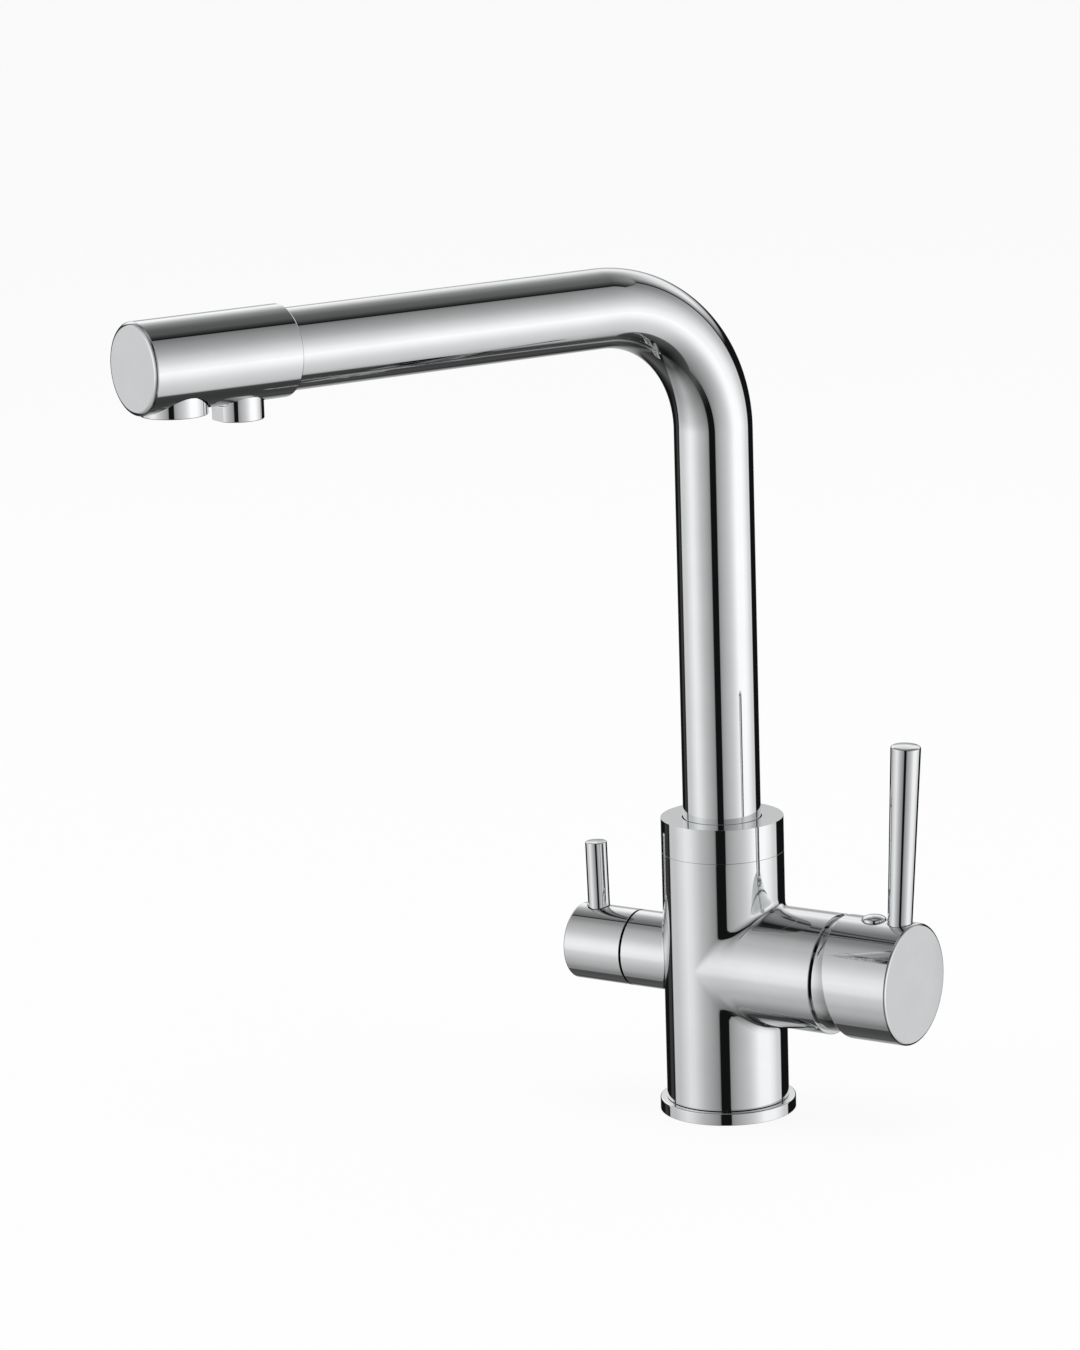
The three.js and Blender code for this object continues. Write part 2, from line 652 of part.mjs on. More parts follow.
/** The three ports through the seal, the base and the fixed disc. */
function portHoles(from, to) {
  const hole = bar(PORT_RADIUS, from, to, SIDES_FINE, 'X');
  return joined([
    moved(hole, 0, RISER_Y, -INLET_PORT_DROP),
    moved(hole, 0, -RISER_Y, -INLET_PORT_DROP),
    moved(hole, 0, 0, MIXED_PORT_RISE),
  ]);
}

function cartridgeBaseSeal() {
  const { seal } = cartridgeLayers();
  const plate = bar(PORT_SEAL_RADIUS, seal, seal + PORT_SEAL_THICKNESS, SIDES_MEDIUM, 'X');
  const peg = bar(PEG_RADIUS + GAP, seal - PAST, seal + PORT_SEAL_THICKNESS + PAST, SIDES_FINE, 'X');
  return plate.subtract(portHoles(seal - PAST, seal + PORT_SEAL_THICKNESS + PAST))
    .subtract(moved(peg, 0, PEG_Y, PEG_RISE))
    .subtract(moved(peg, 0, -PEG_Y, PEG_RISE));
}

function cartridgeBase() {
  const { base } = cartridgeLayers();
  const end = base + CARTRIDGE_BASE_THICKNESS;
  const peg = bar(PEG_RADIUS, CHAMBER_FLOOR - PEG_LENGTH + GAP, base + PAST, SIDES_FINE, 'X');
  return bar(CARTRIDGE_RADIUS, base, end, SIDES_MEDIUM, 'X')
    .subtract(portHoles(base - PAST, end + PAST))
    .add(moved(peg, 0, PEG_Y, PEG_RISE))
    .add(moved(peg, 0, -PEG_Y, PEG_RISE));
}

function cartridgeHousing() {
  const { housing, carrierEnd } = cartridgeLayers();
  const bore = CARTRIDGE_RADIUS - CARTRIDGE_WALL;
  const neckBore = NECK_RADIUS - NECK_WALL;
  return turned([
    [bore, housing],
    [CARTRIDGE_RADIUS, housing],
    [CARTRIDGE_RADIUS, CARTRIDGE_SHOULDER],
    [NECK_RADIUS, CARTRIDGE_SHOULDER],
    [NECK_RADIUS, NECK_END],
    [neckBore, NECK_END],
    [neckBore, carrierEnd + GAP],
    [bore, carrierEnd + GAP],
  ], SIDES_MEDIUM, 'X');
}

function fixedDisc() {
  const { fixedDisc: from } = cartridgeLayers();
  const to = from + DISC_THICKNESS;
  const radius = CARTRIDGE_RADIUS - CARTRIDGE_WALL - DISC_CLEARANCE;
  return bar(radius, from, to, SIDES_MEDIUM, 'X').subtract(portHoles(from - PAST, to + PAST));
}

/** Rise of the moving disc from shut to full flow. */
const discStroke = () => SPINDLE_REACH * radians(FLOW_ANGLE);

/** Moving disc about its own middle, with the mixing recess in its face. */
function movingDisc() {
  const { movingDisc: from } = cartridgeLayers();
  return bar(MOVING_DISC_RADIUS, from, from + MOVING_DISC_THICKNESS, SIDES_MEDIUM, 'X')
    .subtract(bar(DISC_RECESS_RADIUS, from - PAST, from + DISC_RECESS_DEPTH, SIDES_SMALL, 'X'));
}

/** Carrier behind the moving disc, with the hole that the spindle's finger moves. */
function discCarrier() {
  const { carrier, carrierEnd } = cartridgeLayers();
  const half = FINGER_RADIUS + RUN;
  const tip = PIVOT_X - SPINDLE_REACH - GAP;
  const rise = discStroke() / 2;
  const tilt = radians(FLOW_ANGLE);
  const mouth = PIVOT_X - carrierEnd;
  const lag = discStroke() + FINGER_RADIUS / Math.cos(tilt) - mouth * Math.tan(tilt);
  const low = rise - Math.max(lag, FINGER_RADIUS) - RUN;
  return bar(MOVING_DISC_RADIUS, carrier, carrierEnd, SIDES_MEDIUM, 'X')
    .subtract(block([tip, -half, low], [carrierEnd + PAST, half, rise + half]));
}

/** Rotating sleeve that carries the spindle's pin. */
function pivotSleeve() {
  const { carrierEnd } = cartridgeLayers();
  const from = carrierEnd + 2 * GAP;
  const radius = NECK_RADIUS - NECK_WALL - RUN;
  const tilt = radians(FLOW_ANGLE);
  const halfY = HUB_RADIUS + RUN;
  const back = (PIVOT_X - from) * Math.tan(tilt) + FINGER_RADIUS / Math.cos(tilt);
  const front = (SLEEVE_END - PIVOT_X) * Math.tan(tilt) + HUB_RADIUS / Math.cos(tilt);
  const halfZ = Math.max(back, front) + RUN;
  const pin = bar(PIN_RADIUS + RUN, -radius - PAST, radius + PAST, SIDES_FINE, 'Y');
  return bar(radius, from, SLEEVE_END, SIDES_MEDIUM, 'X')
    .subtract(block([from - PAST, -halfY, -halfZ], [SLEEVE_END + PAST, halfY, halfZ]))
    .subtract(moved(pin, PIVOT_X, 0, 0));
}

function pivotPin() {
  const half = NECK_RADIUS - NECK_WALL - RUN - PIN_INSET;
  return moved(bar(PIN_RADIUS, -half, half, SIDES_FINE, 'Y'), PIVOT_X, 0, 0);
}

function cartridgeNut() {
  const from = CARTRIDGE_SHOULDER + GAP;
  const to = from + NUT_LENGTH;
  const nut = ring(NECK_RADIUS + GAP, CHAMBER_THREAD_RADIUS - GAP, from, to, SIDES_MEDIUM, 'X');
  const half = NUT_NOTCH_WIDTH / 2;
  const low = [to - NUT_NOTCH_DEPTH, -half, -CHAMBER_THREAD_RADIUS - PAST];
  const notches = block(low, [to + PAST, half, CHAMBER_THREAD_RADIUS + PAST]);
  return nut.subtract(notches).subtract(notches.rotate([90, 0, 0]));
}

/** Domed cover between the branch and the handle: a sphere about the pivot lets the handle rock. */
function cartridgeCover() {
  const radius = HANDLE_RADIUS - HANDLE_WALL - COVER_CLEARANCE;
  const lip = BRANCH_END + GAP;
  const steps = 4;
  const dome = [];
  for (let i = 0; i <= steps; i += 1) {
    const x = lip + (i / steps) * (COVER_END - lip);
    dome.push([Math.sqrt(radius ** 2 - (x - PIVOT_X) ** 2), x]);
  }
  const bore = NECK_RADIUS + COVER_BORE_CLEARANCE;
  const thread = CHAMBER_THREAD_RADIUS - GAP;
  return turned([
    [bore, BRANCH_END - COVER_SKIRT],
    [thread, BRANCH_END - COVER_SKIRT],
    [thread, lip],
    ...dome,
    [bore, COVER_END],
  ], SIDES_LARGE, 'X');
}

/** Rocking spindle: finger in the carrier, hub on the pin, square end in the handle. */
function mixerSpindle() {
  const hub = turned([
    [0, PIVOT_X - SPINDLE_REACH],
    [FINGER_RADIUS, PIVOT_X - SPINDLE_REACH],
    [FINGER_RADIUS, PIVOT_X - HUB_BACK],
    [HUB_RADIUS, PIVOT_X - HUB_BACK + PAST],
    [HUB_RADIUS, PIVOT_X + HUB_FRONT],
    [0, PIVOT_X + HUB_FRONT],
  ], SIDES_SMALL, 'X');
  const square = block(
    [PIVOT_X + HUB_FRONT - PAST, -SQUARE_HALF, -SQUARE_HALF],
    [SQUARE_END, SQUARE_HALF, SQUARE_HALF],
  );
  const pin = bar(PIN_RADIUS + RUN, -HUB_RADIUS - PAST, HUB_RADIUS + PAST, SIDES_FINE, 'Y');
  return hub.add(square).subtract(moved(pin, PIVOT_X, 0, 0));
}

// ---------------------------------------------------------------- mixer handle
/** Moves a solid made upright on the handle's surface to the lever's place. */
function toLever(solid) {
  return solid.rotate([0, LEVER_LEAN, 0]).translate([LEVER_X, 0, HANDLE_RADIUS]);
}

function mixerHandle() {
  const inside = HANDLE_RADIUS - HANDLE_WALL;
  const back = HANDLE_RIM - HANDLE_RADIUS * Math.tan(radians(RIM_SLANT)) - PAST;
  const shell = turned([
    [0, back],
    [HANDLE_RADIUS, back],
    ...quarterRound(HANDLE_RADIUS, HANDLE_END, HANDLE_EDGE, 2),
    [0, HANDLE_END],
  ], SIDES_LARGE, 'X');
  const cavity = bar(inside, back - PAST, HANDLE_CAVITY_END, SIDES_LARGE, 'X');
  const hub = bar(HANDLE_HUB_RADIUS, HANDLE_HUB_START, HANDLE_CAVITY_END + PAST, SIDES_MEDIUM, 'X');
  const boss = moved(bar(BOSS_RADIUS, 0, inside + HANDLE_WALL / 2, SIDES_SMALL), PLUG_X, 0, 0)
    .subtract(bar(HANDLE_HUB_RADIUS - PAST, 0, HANDLE_CAVITY_END, SIDES_MEDIUM, 'X'));
  const keep = HANDLE_RADIUS * 2;
  const behindRim = block([-keep, -keep, -keep], [0, keep, keep])
    .rotate([0, -RIM_SLANT, 0]).translate([HANDLE_RIM, 0, 0]);
  const squareHalf = SQUARE_HALF + GAP;
  const square = block(
    [HANDLE_HUB_START - PAST, -squareHalf, -squareHalf],
    [SQUARE_END + GAP, squareHalf, squareHalf],
  );
  const plugSeat = HANDLE_RADIUS - PLUG_SEAT_DEPTH;
  const shankEnd = plugSeat - PLUG_SHANK_LENGTH - GAP;
  const plugHoles = joined([
    bar(PLUG_RADIUS + GAP, plugSeat, HANDLE_RADIUS + PAST, SIDES_SMALL),
    bar(PLUG_SHANK_RADIUS + GAP, shankEnd, HANDLE_RADIUS, SIDES_SMALL),
    bar(GRUB_RADIUS + GAP, 0, HANDLE_RADIUS, SIDES_FINE),
  ]);
  const leverHoles = toLever(joined([
    bar(LEVER_FOOT_RADIUS + GAP, -LEVER_SEAT_DEPTH, LEVER_FOOT_RADIUS, SIDES_SMALL),
    bar(LEVER_STUB_RADIUS + GAP, -LEVER_SEAT_DEPTH - LEVER_STUB_LENGTH - GAP, PAST, SIDES_SMALL),
  ]));
  return shell.subtract(cavity).add(hub).add(boss)
    .subtract(behindRim)
    .subtract(square)
    .subtract(moved(plugHoles, PLUG_X, 0, 0))
    .subtract(leverHoles);
}

/** Grub screw that clamps the handle on the spindle's square. */
function handleScrew() {
  const low = SQUARE_HALF + GAP;
  const key = bar(GRUB_RADIUS * 0.5, low + GRUB_LENGTH - KEY_DEPTH, low + GRUB_LENGTH + PAST, KEY_SIDES);
  return moved(bar(GRUB_RADIUS, low, low + GRUB_LENGTH, SIDES_FINE).subtract(key), PLUG_X, 0, 0);
}

/** Domed plug over the grub screw's hole. */
function indexPlug() {
  const seat = HANDLE_RADIUS - PLUG_SEAT_DEPTH + GAP;
  const dome = [];
  const steps = 4;
  const height = HANDLE_RADIUS + PLUG_PROUD - seat - PLUG_RIM;
  for (let i = 0; i < steps; i += 1) {
    const angle = (i / steps) * (Math.PI / 2);
    dome.push([PLUG_RADIUS * Math.cos(angle), seat + PLUG_RIM + height * Math.sin(angle)]);
  }
  const shankEnd = HANDLE_RADIUS - PLUG_SEAT_DEPTH - PLUG_SHANK_LENGTH;
  const plug = turned([
    [0, shankEnd],
    [PLUG_SHANK_RADIUS, shankEnd],
    [PLUG_SHANK_RADIUS, seat],
    [PLUG_RADIUS, seat],
    ...dome,
    [0, HANDLE_RADIUS + PLUG_PROUD],
  ], SIDES_SMALL);
  return moved(plug, PLUG_X, 0, 0);
}

/** Tapered lever rod with a threaded stub. */
function mixerLever() {
  const foot = -LEVER_SEAT_DEPTH + GAP;
  return toLever(turned([
    [0, foot - LEVER_STUB_LENGTH],
    [LEVER_STUB_RADIUS, foot - LEVER_STUB_LENGTH],
    [LEVER_STUB_RADIUS, foot],
    [LEVER_FOOT_RADIUS, foot],
    ...quarterRound(LEVER_TOP_RADIUS, LEVER_LENGTH, LEVER_EDGE, 3),
    [0, LEVER_LENGTH + LEVER_CROWN],
  ], SIDES_SMALL));
}

// ---------------------------------------------------------------- filter valve, along its own X
/** Places of the valve's layers along its axis, from the chamber's floor out. */
function valveLayers() {
  const seal = FILTER_CHAMBER_FLOOR + GAP;
  const fixed = seal + VALVE_SEAL_LENGTH + GAP;
  const moving = fixed + VALVE_DISC_THICKNESS + GAP;
  const spindle = moving + VALVE_DISC_THICKNESS + GAP;
  return { seal, fixed, moving, spindle };
}

function valveSeal() {
  const { seal } = valveLayers();
  const radius = HEADWORK_BORE - GAP;
  return ring(VALVE_SEAL_BORE, radius, seal, seal + VALVE_SEAL_LENGTH, SIDES_MEDIUM, 'X');
}

/** Ceramic disc with two openings opposite each other. */
function valveDisc(from) {
  const radius = HEADWORK_BORE - GAP;
  const to = from + VALVE_DISC_THICKNESS;
  const hole = bar(VALVE_HOLE_RADIUS, from - PAST, to + PAST, SIDES_FINE, 'X');
  return bar(radius, from, to, SIDES_MEDIUM, 'X')
    .subtract(moved(hole, 0, 0, VALVE_HOLE_OFFSET))
    .subtract(moved(hole, 0, 0, -VALVE_HOLE_OFFSET));
}

/** Brass headwork that screws into the filter branch and holds the discs and spindle. */
function headwork() {
  const collar = FILTER_BRANCH_END + GAP;
  const lower = FILTER_CHAMBER_RADIUS - GAP;
  const thread = FILTER_THREAD_RADIUS - GAP;
  const stemBore = SPINDLE_RADIUS + RUN;
  const { moving } = valveLayers();
  const half = HEADWORK_WINDOW_HALF;
  const window = block(
    [moving, -half, -FILTER_THREAD_RADIUS],
    [moving + VALVE_DISC_THICKNESS, half, FILTER_THREAD_RADIUS],
  );
  return turned([
    [HEADWORK_BORE, HEADWORK_START],
    [lower, HEADWORK_START],
    [lower, FILTER_THREAD_START + GAP],
    [thread, FILTER_THREAD_START + GAP],
    [thread, collar],
    [HEADWORK_FLANGE_RADIUS, collar],
    [HEADWORK_FLANGE_RADIUS, collar + HEADWORK_FLANGE],
    [HEADWORK_NECK_RADIUS, collar + HEADWORK_FLANGE],
    [HEADWORK_NECK_RADIUS, HEADWORK_NECK_END],
    [stemBore, HEADWORK_NECK_END],
    [stemBore, HEADWORK_BORE_END],
    [HEADWORK_BORE, HEADWORK_BORE_END],
  ], SIDES_MEDIUM, 'X').subtract(window);
}

function filterSpindle() {
  const { spindle } = valveLayers();
  const foot = spindle + SPINDLE_FOOT_LENGTH;
  const clipHalf = CLIP_THICKNESS / 2;
  return turned([
    [0, spindle],
    [HEADWORK_BORE - RUN, spindle],
    [HEADWORK_BORE - RUN, foot],
    [SPINDLE_RADIUS, foot],
    ...groove(SPINDLE_RADIUS, SMALL_GROOVE_DEPTH, SMALL_GROOVE_HALF, SPINDLE_SEAL_AT),
    ...groove(SPINDLE_RADIUS, CLIP_GROOVE_DEPTH, clipHalf + GAP, CLIP_AT + clipHalf),
    [SPINDLE_RADIUS, SPINDLE_END],
    [0, SPINDLE_END],
  ], SIDES_SMALL, 'X');
}

function spindleSeal() {
  const middle = SPINDLE_RADIUS - SMALL_SEAL_INSET;
  return sealRing(middle, SMALL_SEAL_SECTION, SPINDLE_SEAL_AT, SIDES_SMALL, 'X');
}

/** Open clip in the spindle's groove, which keeps the spindle in the headwork. */
function spindleClip() {
  const bore = SPINDLE_RADIUS - CLIP_GROOVE_DEPTH + CLIP_PLAY;
  const clip = ring(bore, CLIP_RADIUS, CLIP_AT, CLIP_AT + CLIP_THICKNESS, SIDES_SMALL, 'X');
  const slot = block(
    [CLIP_AT - PAST, -CLIP_MOUTH_HALF, -CLIP_RADIUS - PAST],
    [CLIP_AT + CLIP_THICKNESS + PAST, CLIP_MOUTH_HALF, 0],
  );
  return clip.subtract(slot);
}

/** Moves a solid made upright on the filter handle's surface to its lever's place. */
function toFilterLever(solid) {
  return solid.rotate([0, FILTER_LEVER_LEAN, 0]).translate([FILTER_LEVER_X, 0, FILTER_RADIUS]);
}

function filterHandle() {
  const start = FILTER_BRANCH_END + 2 * GAP;
  const inside = FILTER_RADIUS - FILTER_HANDLE_WALL;
  const spindleBore = SPINDLE_RADIUS + GAP;
  const shell = turned([
    [inside, start],
    [FILTER_RADIUS - GAP, start],
    [FILTER_RADIUS, start + GAP],
    ...quarterRound(FILTER_RADIUS, FILTER_HANDLE_END, FILTER_HANDLE_EDGE, 2),
    [0, FILTER_HANDLE_END],
    [0, SPINDLE_END + GAP],
    [spindleBore, SPINDLE_END + GAP],
    [spindleBore, FILTER_CAVITY_END],
    [inside, FILTER_CAVITY_END],
    [inside, start],
  ], SIDES_ROUND, 'X');
  const seat = joined([
    bar(FILTER_LEVER_RADIUS + GAP, -FILTER_LEVER_SEAT, 3, SIDES_SMALL),
    bar(FILTER_STUB_RADIUS + GAP, -FILTER_LEVER_SEAT - FILTER_STUB_LENGTH - GAP, 1, SIDES_FINE),
  ]);
  const grub = bar(FILTER_GRUB_RADIUS + GAP, -FILTER_RADIUS - PAST, 0, SIDES_FINE);
  return shell.subtract(toFilterLever(seat)).subtract(moved(grub, FILTER_LEVER_X - FILTER_GRUB_INSET, 0, 0));
}

/** Grub screw that clamps the filter handle on its spindle, from below. */
function filterHandleScrew() {
  const high = -SPINDLE_RADIUS - GAP;
  const low = high - FILTER_GRUB_LENGTH;
  const key = bar(FILTER_GRUB_RADIUS * 0.5, low - PAST, low + KEY_DEPTH, KEY_SIDES);
  const screw = bar(FILTER_GRUB_RADIUS, low, high, SIDES_FINE).subtract(key);
  return moved(screw, FILTER_LEVER_X - FILTER_GRUB_INSET, 0, 0);
}

function filterLever() {
  const foot = -FILTER_LEVER_SEAT + GAP;
  return toFilterLever(turned([
    [0, foot - FILTER_STUB_LENGTH],
    [FILTER_STUB_RADIUS, foot - FILTER_STUB_LENGTH],
    [FILTER_STUB_RADIUS, foot],
    [FILTER_LEVER_RADIUS, foot],
    [FILTER_LEVER_RADIUS, FILTER_LEVER_LENGTH - FILTER_LEVER_CHAMFER],
    [FILTER_LEVER_RADIUS - FILTER_LEVER_CHAMFER, FILTER_LEVER_LENGTH],
    [0, FILTER_LEVER_LENGTH],
  ], SIDES_SMALL));
}

// ---------------------------------------------------------------- places along the arm
const MAINS_X = HEAD_END - MAINS_FROM_END;
const FILTERED_X = MAINS_X - OUTLET_SPACING;
const CHAMBER_RADIUS = FILTERED_NECK_RADIUS + GAP + FILTERED_CHAMBER_WALL;
const HEAD_START = FILTERED_X - CHAMBER_RADIUS - HEAD_SOCKET_END_GAP - HEAD_SOCKET_DEPTH;
const TUBE_END = HEAD_START + HEAD_SOCKET_DEPTH - GAP;
const NIPPLE_FLANGE_START = FILTERED_X - CHAMBER_RADIUS - GAP - NIPPLE_FLANGE_LENGTH;

// ---------------------------------------------------------------- spout
/** Middle line of the spout: a rise, a quarter bend and a run, with stations only where it bends. */
class SpoutLine extends THREE.Curve {
  constructor(start, runEnd) {
    super();
    this.start = start;
    this.runEnd = runEnd;
    this.stations = BEND_STEPS + 2;
  }

  /** Angle round the bend at a station, from 0 at its foot to a quarter turn. */
  angleAt(share) {
    const station = Math.round(share * this.stations);
    return THREE.MathUtils.clamp((station - 1) / BEND_STEPS, 0, 1) * (Math.PI / 2);
  }

  getPointAt(share, target = new THREE.Vector3()) {
    const station = Math.round(share * this.stations);
    if (station === 0) return target.set(0, 0, this.start);
    if (station === this.stations) return target.set(this.runEnd, 0, SPOUT_HEIGHT);
    const angle = this.angleAt(share);
    return target.set(
      BEND_RADIUS * (1 - Math.cos(angle)),
      0,
      SPOUT_HEIGHT - BEND_RADIUS * (1 - Math.sin(angle)),
    );
  }

  getTangentAt(share, target = new THREE.Vector3()) {
    const angle = this.angleAt(share);
    return target.set(Math.sin(angle), 0, Math.cos(angle));
  }
}

/** Pipe along the spout's middle line. */
function spoutPipe(radius, bore, start, runEnd, sides) {
  const section = new THREE.Shape().absarc(0, 0, radius, 0, 2 * Math.PI);
  section.holes.push(new THREE.Path().absarc(0, 0, bore, 0, 2 * Math.PI));
  const line = new SpoutLine(start, runEnd);
  return solidOf(new THREE.ExtrudeGeometry(section, {
    steps: line.stations,
    curveSegments: sides / 2,
    extrudePath: line,
  }));
}

function spoutTube() {
  const { tubeStart } = seatStack();
  return spoutPipe(TUBE_RADIUS, TUBE_RADIUS - TUBE_WALL, tubeStart, TUBE_END, SIDES_ROUND);
}

/** Lower end of the foot, just above the floor of its seat. */
const footStart = () => SEAT_FLOOR + GAP;

/** Heights of the two O-rings on the foot. */
const footSealHeights = () => [0, 1].map((i) => footStart() + FOOT_SEAL_FIRST + i * FOOT_SEAL_SPACING);

/** Brass foot of the spout: it turns in the body's seat on two O-rings and carries the tube. */
function spoutFoot() {
  const { footFlange, tubeStart } = seatStack();
  const low = footStart();
  const flangeTop = footFlange + FOOT_FLANGE_HEIGHT;
  const sleeve = TUBE_RADIUS - TUBE_WALL - GAP;
  const outline = [[FOOT_LEDGE_RADIUS, low], [FOOT_RADIUS, low]];
  for (const height of footSealHeights()) {
    outline.push(...groove(FOOT_RADIUS, 2 * FOOT_SEAL_SECTION, FOOT_SEAL_SECTION + GAP, height));
  }
  outline.push([FOOT_RADIUS, footFlange]);
  outline.push([SEAT_THREAD_RADIUS - RUN, footFlange]);
  outline.push([SEAT_THREAD_RADIUS - RUN, flangeTop]);
  outline.push([sleeve, flangeTop]);
  outline.push([sleeve, tubeStart + FOOT_SLEEVE_HEIGHT]);
  outline.push([FOOT_BORE_RADIUS, tubeStart + FOOT_SLEEVE_HEIGHT]);
  outline.push([FOOT_BORE_RADIUS, low + FOOT_LEDGE_HEIGHT]);
  outline.push([FOOT_LEDGE_RADIUS, low + FOOT_LEDGE_HEIGHT]);
  return turned(outline, SIDES_MEDIUM);
}

function footSeal(index) {
  const middle = FOOT_RADIUS - FOOT_SEAL_SECTION + FOOT_SEAL_PROUD;
  return sealRing(middle, FOOT_SEAL_SECTION - FOOT_SEAL_PLAY, footSealHeights()[index], SIDES_MEDIUM);
}

/** Joint between the fixed stem and the hose, carried by three ribs on a ledge in the foot. */
function hoseConnector() {
  const low = footStart() + CONNECTOR_RISE;
  const top = low + CONNECTOR_HEIGHT;
  const socket = STEM_RADIUS + RUN;
  const hub = turned([
    [socket, low],
    [CONNECTOR_RADIUS, low],
    [CONNECTOR_RADIUS, top],
    [BARB_RADIUS, top],
    [BARB_RADIUS, top + BARB_LENGTH],
    [LINE_BORE_RADIUS, top + BARB_LENGTH],
    [LINE_BORE_RADIUS, low + CONNECTOR_SOCKET_DEPTH],
    [socket, low + CONNECTOR_SOCKET_DEPTH],
  ], SIDES_SMALL);
  const ribLow = footStart() + FOOT_LEDGE_HEIGHT + GAP;
  const half = CONNECTOR_RIB / 2;
  const rib = block(
    [CONNECTOR_RADIUS - CONNECTOR_RIB / 2, -half, ribLow],
    [FOOT_BORE_RADIUS - GAP, half, ribLow + CONNECTOR_RIB_HEIGHT],
  );
  return joined([hub, rib, rib.rotate([0, 0, 120]), rib.rotate([0, 0, 240])]);
}

/** Hose that takes filtered water through the spout, apart from the mixed water round it. */
function filterHose() {
  const low = footStart() + CONNECTOR_RISE + CONNECTOR_HEIGHT + GAP;
  return spoutPipe(HOSE_RADIUS, HOSE_BORE_RADIUS, low, NIPPLE_FLANGE_START - GAP, SIDES_FINE);
}

function hoseNipple() {
  const flange = NIPPLE_FLANGE_START;
  const flangeEnd = flange + NIPPLE_FLANGE_LENGTH;
  return turned([
    [LINE_BORE_RADIUS, flange - BARB_LENGTH],
    [BARB_RADIUS, flange - BARB_LENGTH],
    [BARB_RADIUS, flange],
    [NIPPLE_FLANGE_RADIUS, flange],
    [NIPPLE_FLANGE_RADIUS, flangeEnd],
    [NIPPLE_STUB_RADIUS, flangeEnd],
    [NIPPLE_STUB_RADIUS, flangeEnd + NIPPLE_STUB_LENGTH],
    [LINE_BORE_RADIUS, flangeEnd + NIPPLE_STUB_LENGTH],
  ], SIDES_FINE, 'X');
}

// ---------------------------------------------------------------- head, about the arm's axis
const mains = {
  x: MAINS_X,
  radius: MAINS_RADIUS,
  bottom: -HEAD_RADIUS - MAINS_DROP,
  ringTop: MAINS_RING_TOP,
  neckRadius: MAINS_NECK_RADIUS,
  neckTop: MAINS_NECK_TOP,
  jetPitch: MAINS_JET_PITCH,
};
const filtered = {
  x: FILTERED_X,
  radius: FILTERED_RADIUS,
  bottom: -HEAD_RADIUS - FILTERED_DROP,
  ringTop: FILTERED_RING_TOP,
  neckRadius: FILTERED_NECK_RADIUS,
  neckTop: FILTERED_NECK_TOP,
  jetPitch: FILTERED_JET_PITCH,
};

/** Stepped hole for an outlet: seat of the ring, thread of the neck, ledge of the seal. */
function outletCut(outlet) {
  const ledge = outlet.neckTop + GAP + OUTLET_SEAL_HEIGHT + GAP;
  const bore = outlet.neckRadius + GAP;
  return moved(joined([
    bar(outlet.radius + GAP, outlet.bottom - PAST, outlet.ringTop + GAP, SIDES_ROUND),
    bar(bore, outlet.bottom - PAST, ledge, SIDES_MEDIUM),
    bar(bore - OUTLET_LEDGE_WIDTH, outlet.bottom - PAST, ledge + OUTLET_LEDGE_HEIGHT + PAST, SIDES_MEDIUM),
  ]), outlet.x, 0, 0);
}

function spoutHead() {
  const socket = TUBE_RADIUS + GAP;
  const inside = HEAD_RADIUS - HEAD_WALL;
  const outside = turned([
    [0, HEAD_START],
    [HEAD_RADIUS - HEAD_EDGE, HEAD_START],
    [HEAD_RADIUS, HEAD_START + HEAD_EDGE],
    ...quarterRound(HEAD_RADIUS, HEAD_END, HEAD_EDGE, 2),
    [0, HEAD_END],
  ], SIDES_LARGE, 'X');
  const hollow = joined([
    bar(socket, HEAD_START - PAST, HEAD_START + HEAD_SOCKET_DEPTH, SIDES_ROUND, 'X'),
    bar(inside, HEAD_START, HEAD_END - HEAD_END_WALL, SIDES_MEDIUM, 'X'),
  ]);
  const mainsLedge = MAINS_NECK_TOP + 2 * GAP + OUTLET_SEAL_HEIGHT;
  const mainsCollar = bar(MAINS_COLLAR_RADIUS, -HEAD_RADIUS, mainsLedge + OUTLET_LEDGE_HEIGHT, SIDES_MEDIUM);
  const chamber = bar(CHAMBER_RADIUS, -HEAD_RADIUS, FILTERED_CHAMBER_TOP, SIDES_MEDIUM);
  const inner = joined([moved(mainsCollar, MAINS_X, 0, 0), moved(chamber, FILTERED_X, 0, 0)])
    .intersect(outside);
  const chamberBore = FILTERED_NECK_RADIUS + GAP - OUTLET_LEDGE_WIDTH;
  const filteredHollow = moved(
    bar(chamberBore, -HEAD_RADIUS, FILTERED_CHAMBER_TOP - FILTERED_CHAMBER_WALL, SIDES_MEDIUM),
    FILTERED_X, 0, 0,
  );
  const nippleHole = bar(NIPPLE_STUB_RADIUS + GAP, NIPPLE_FLANGE_START, FILTERED_X, SIDES_FINE, 'X');
  return outside.subtract(hollow).add(inner)
    .subtract(outletCut(mains))
    .subtract(outletCut(filtered))
    .subtract(filteredHollow)
    .subtract(nippleHole);
}

/** Shell of an aerator: the ring that shows, a threaded neck and an open mouth with a lip. */
function aeratorHousing(outlet) {
  const bore = outlet.neckRadius - OUTLET_WALL;
  const mouth = bore - OUTLET_LIP;
  return moved(turned([
    [mouth, outlet.bottom],
    [outlet.radius - OUTLET_LIP / 2, outlet.bottom],
    [outlet.radius, outlet.bottom + OUTLET_LIP / 2],
    [outlet.radius, outlet.ringTop],
    [outlet.neckRadius, outlet.ringTop],
    [outlet.neckRadius, outlet.neckTop],
    [bore, outlet.neckTop],
    [bore, outlet.bottom + OUTLET_LIP],
    [mouth, outlet.bottom + OUTLET_LIP],
  ], SIDES_MEDIUM), outlet.x, 0, 0);
}

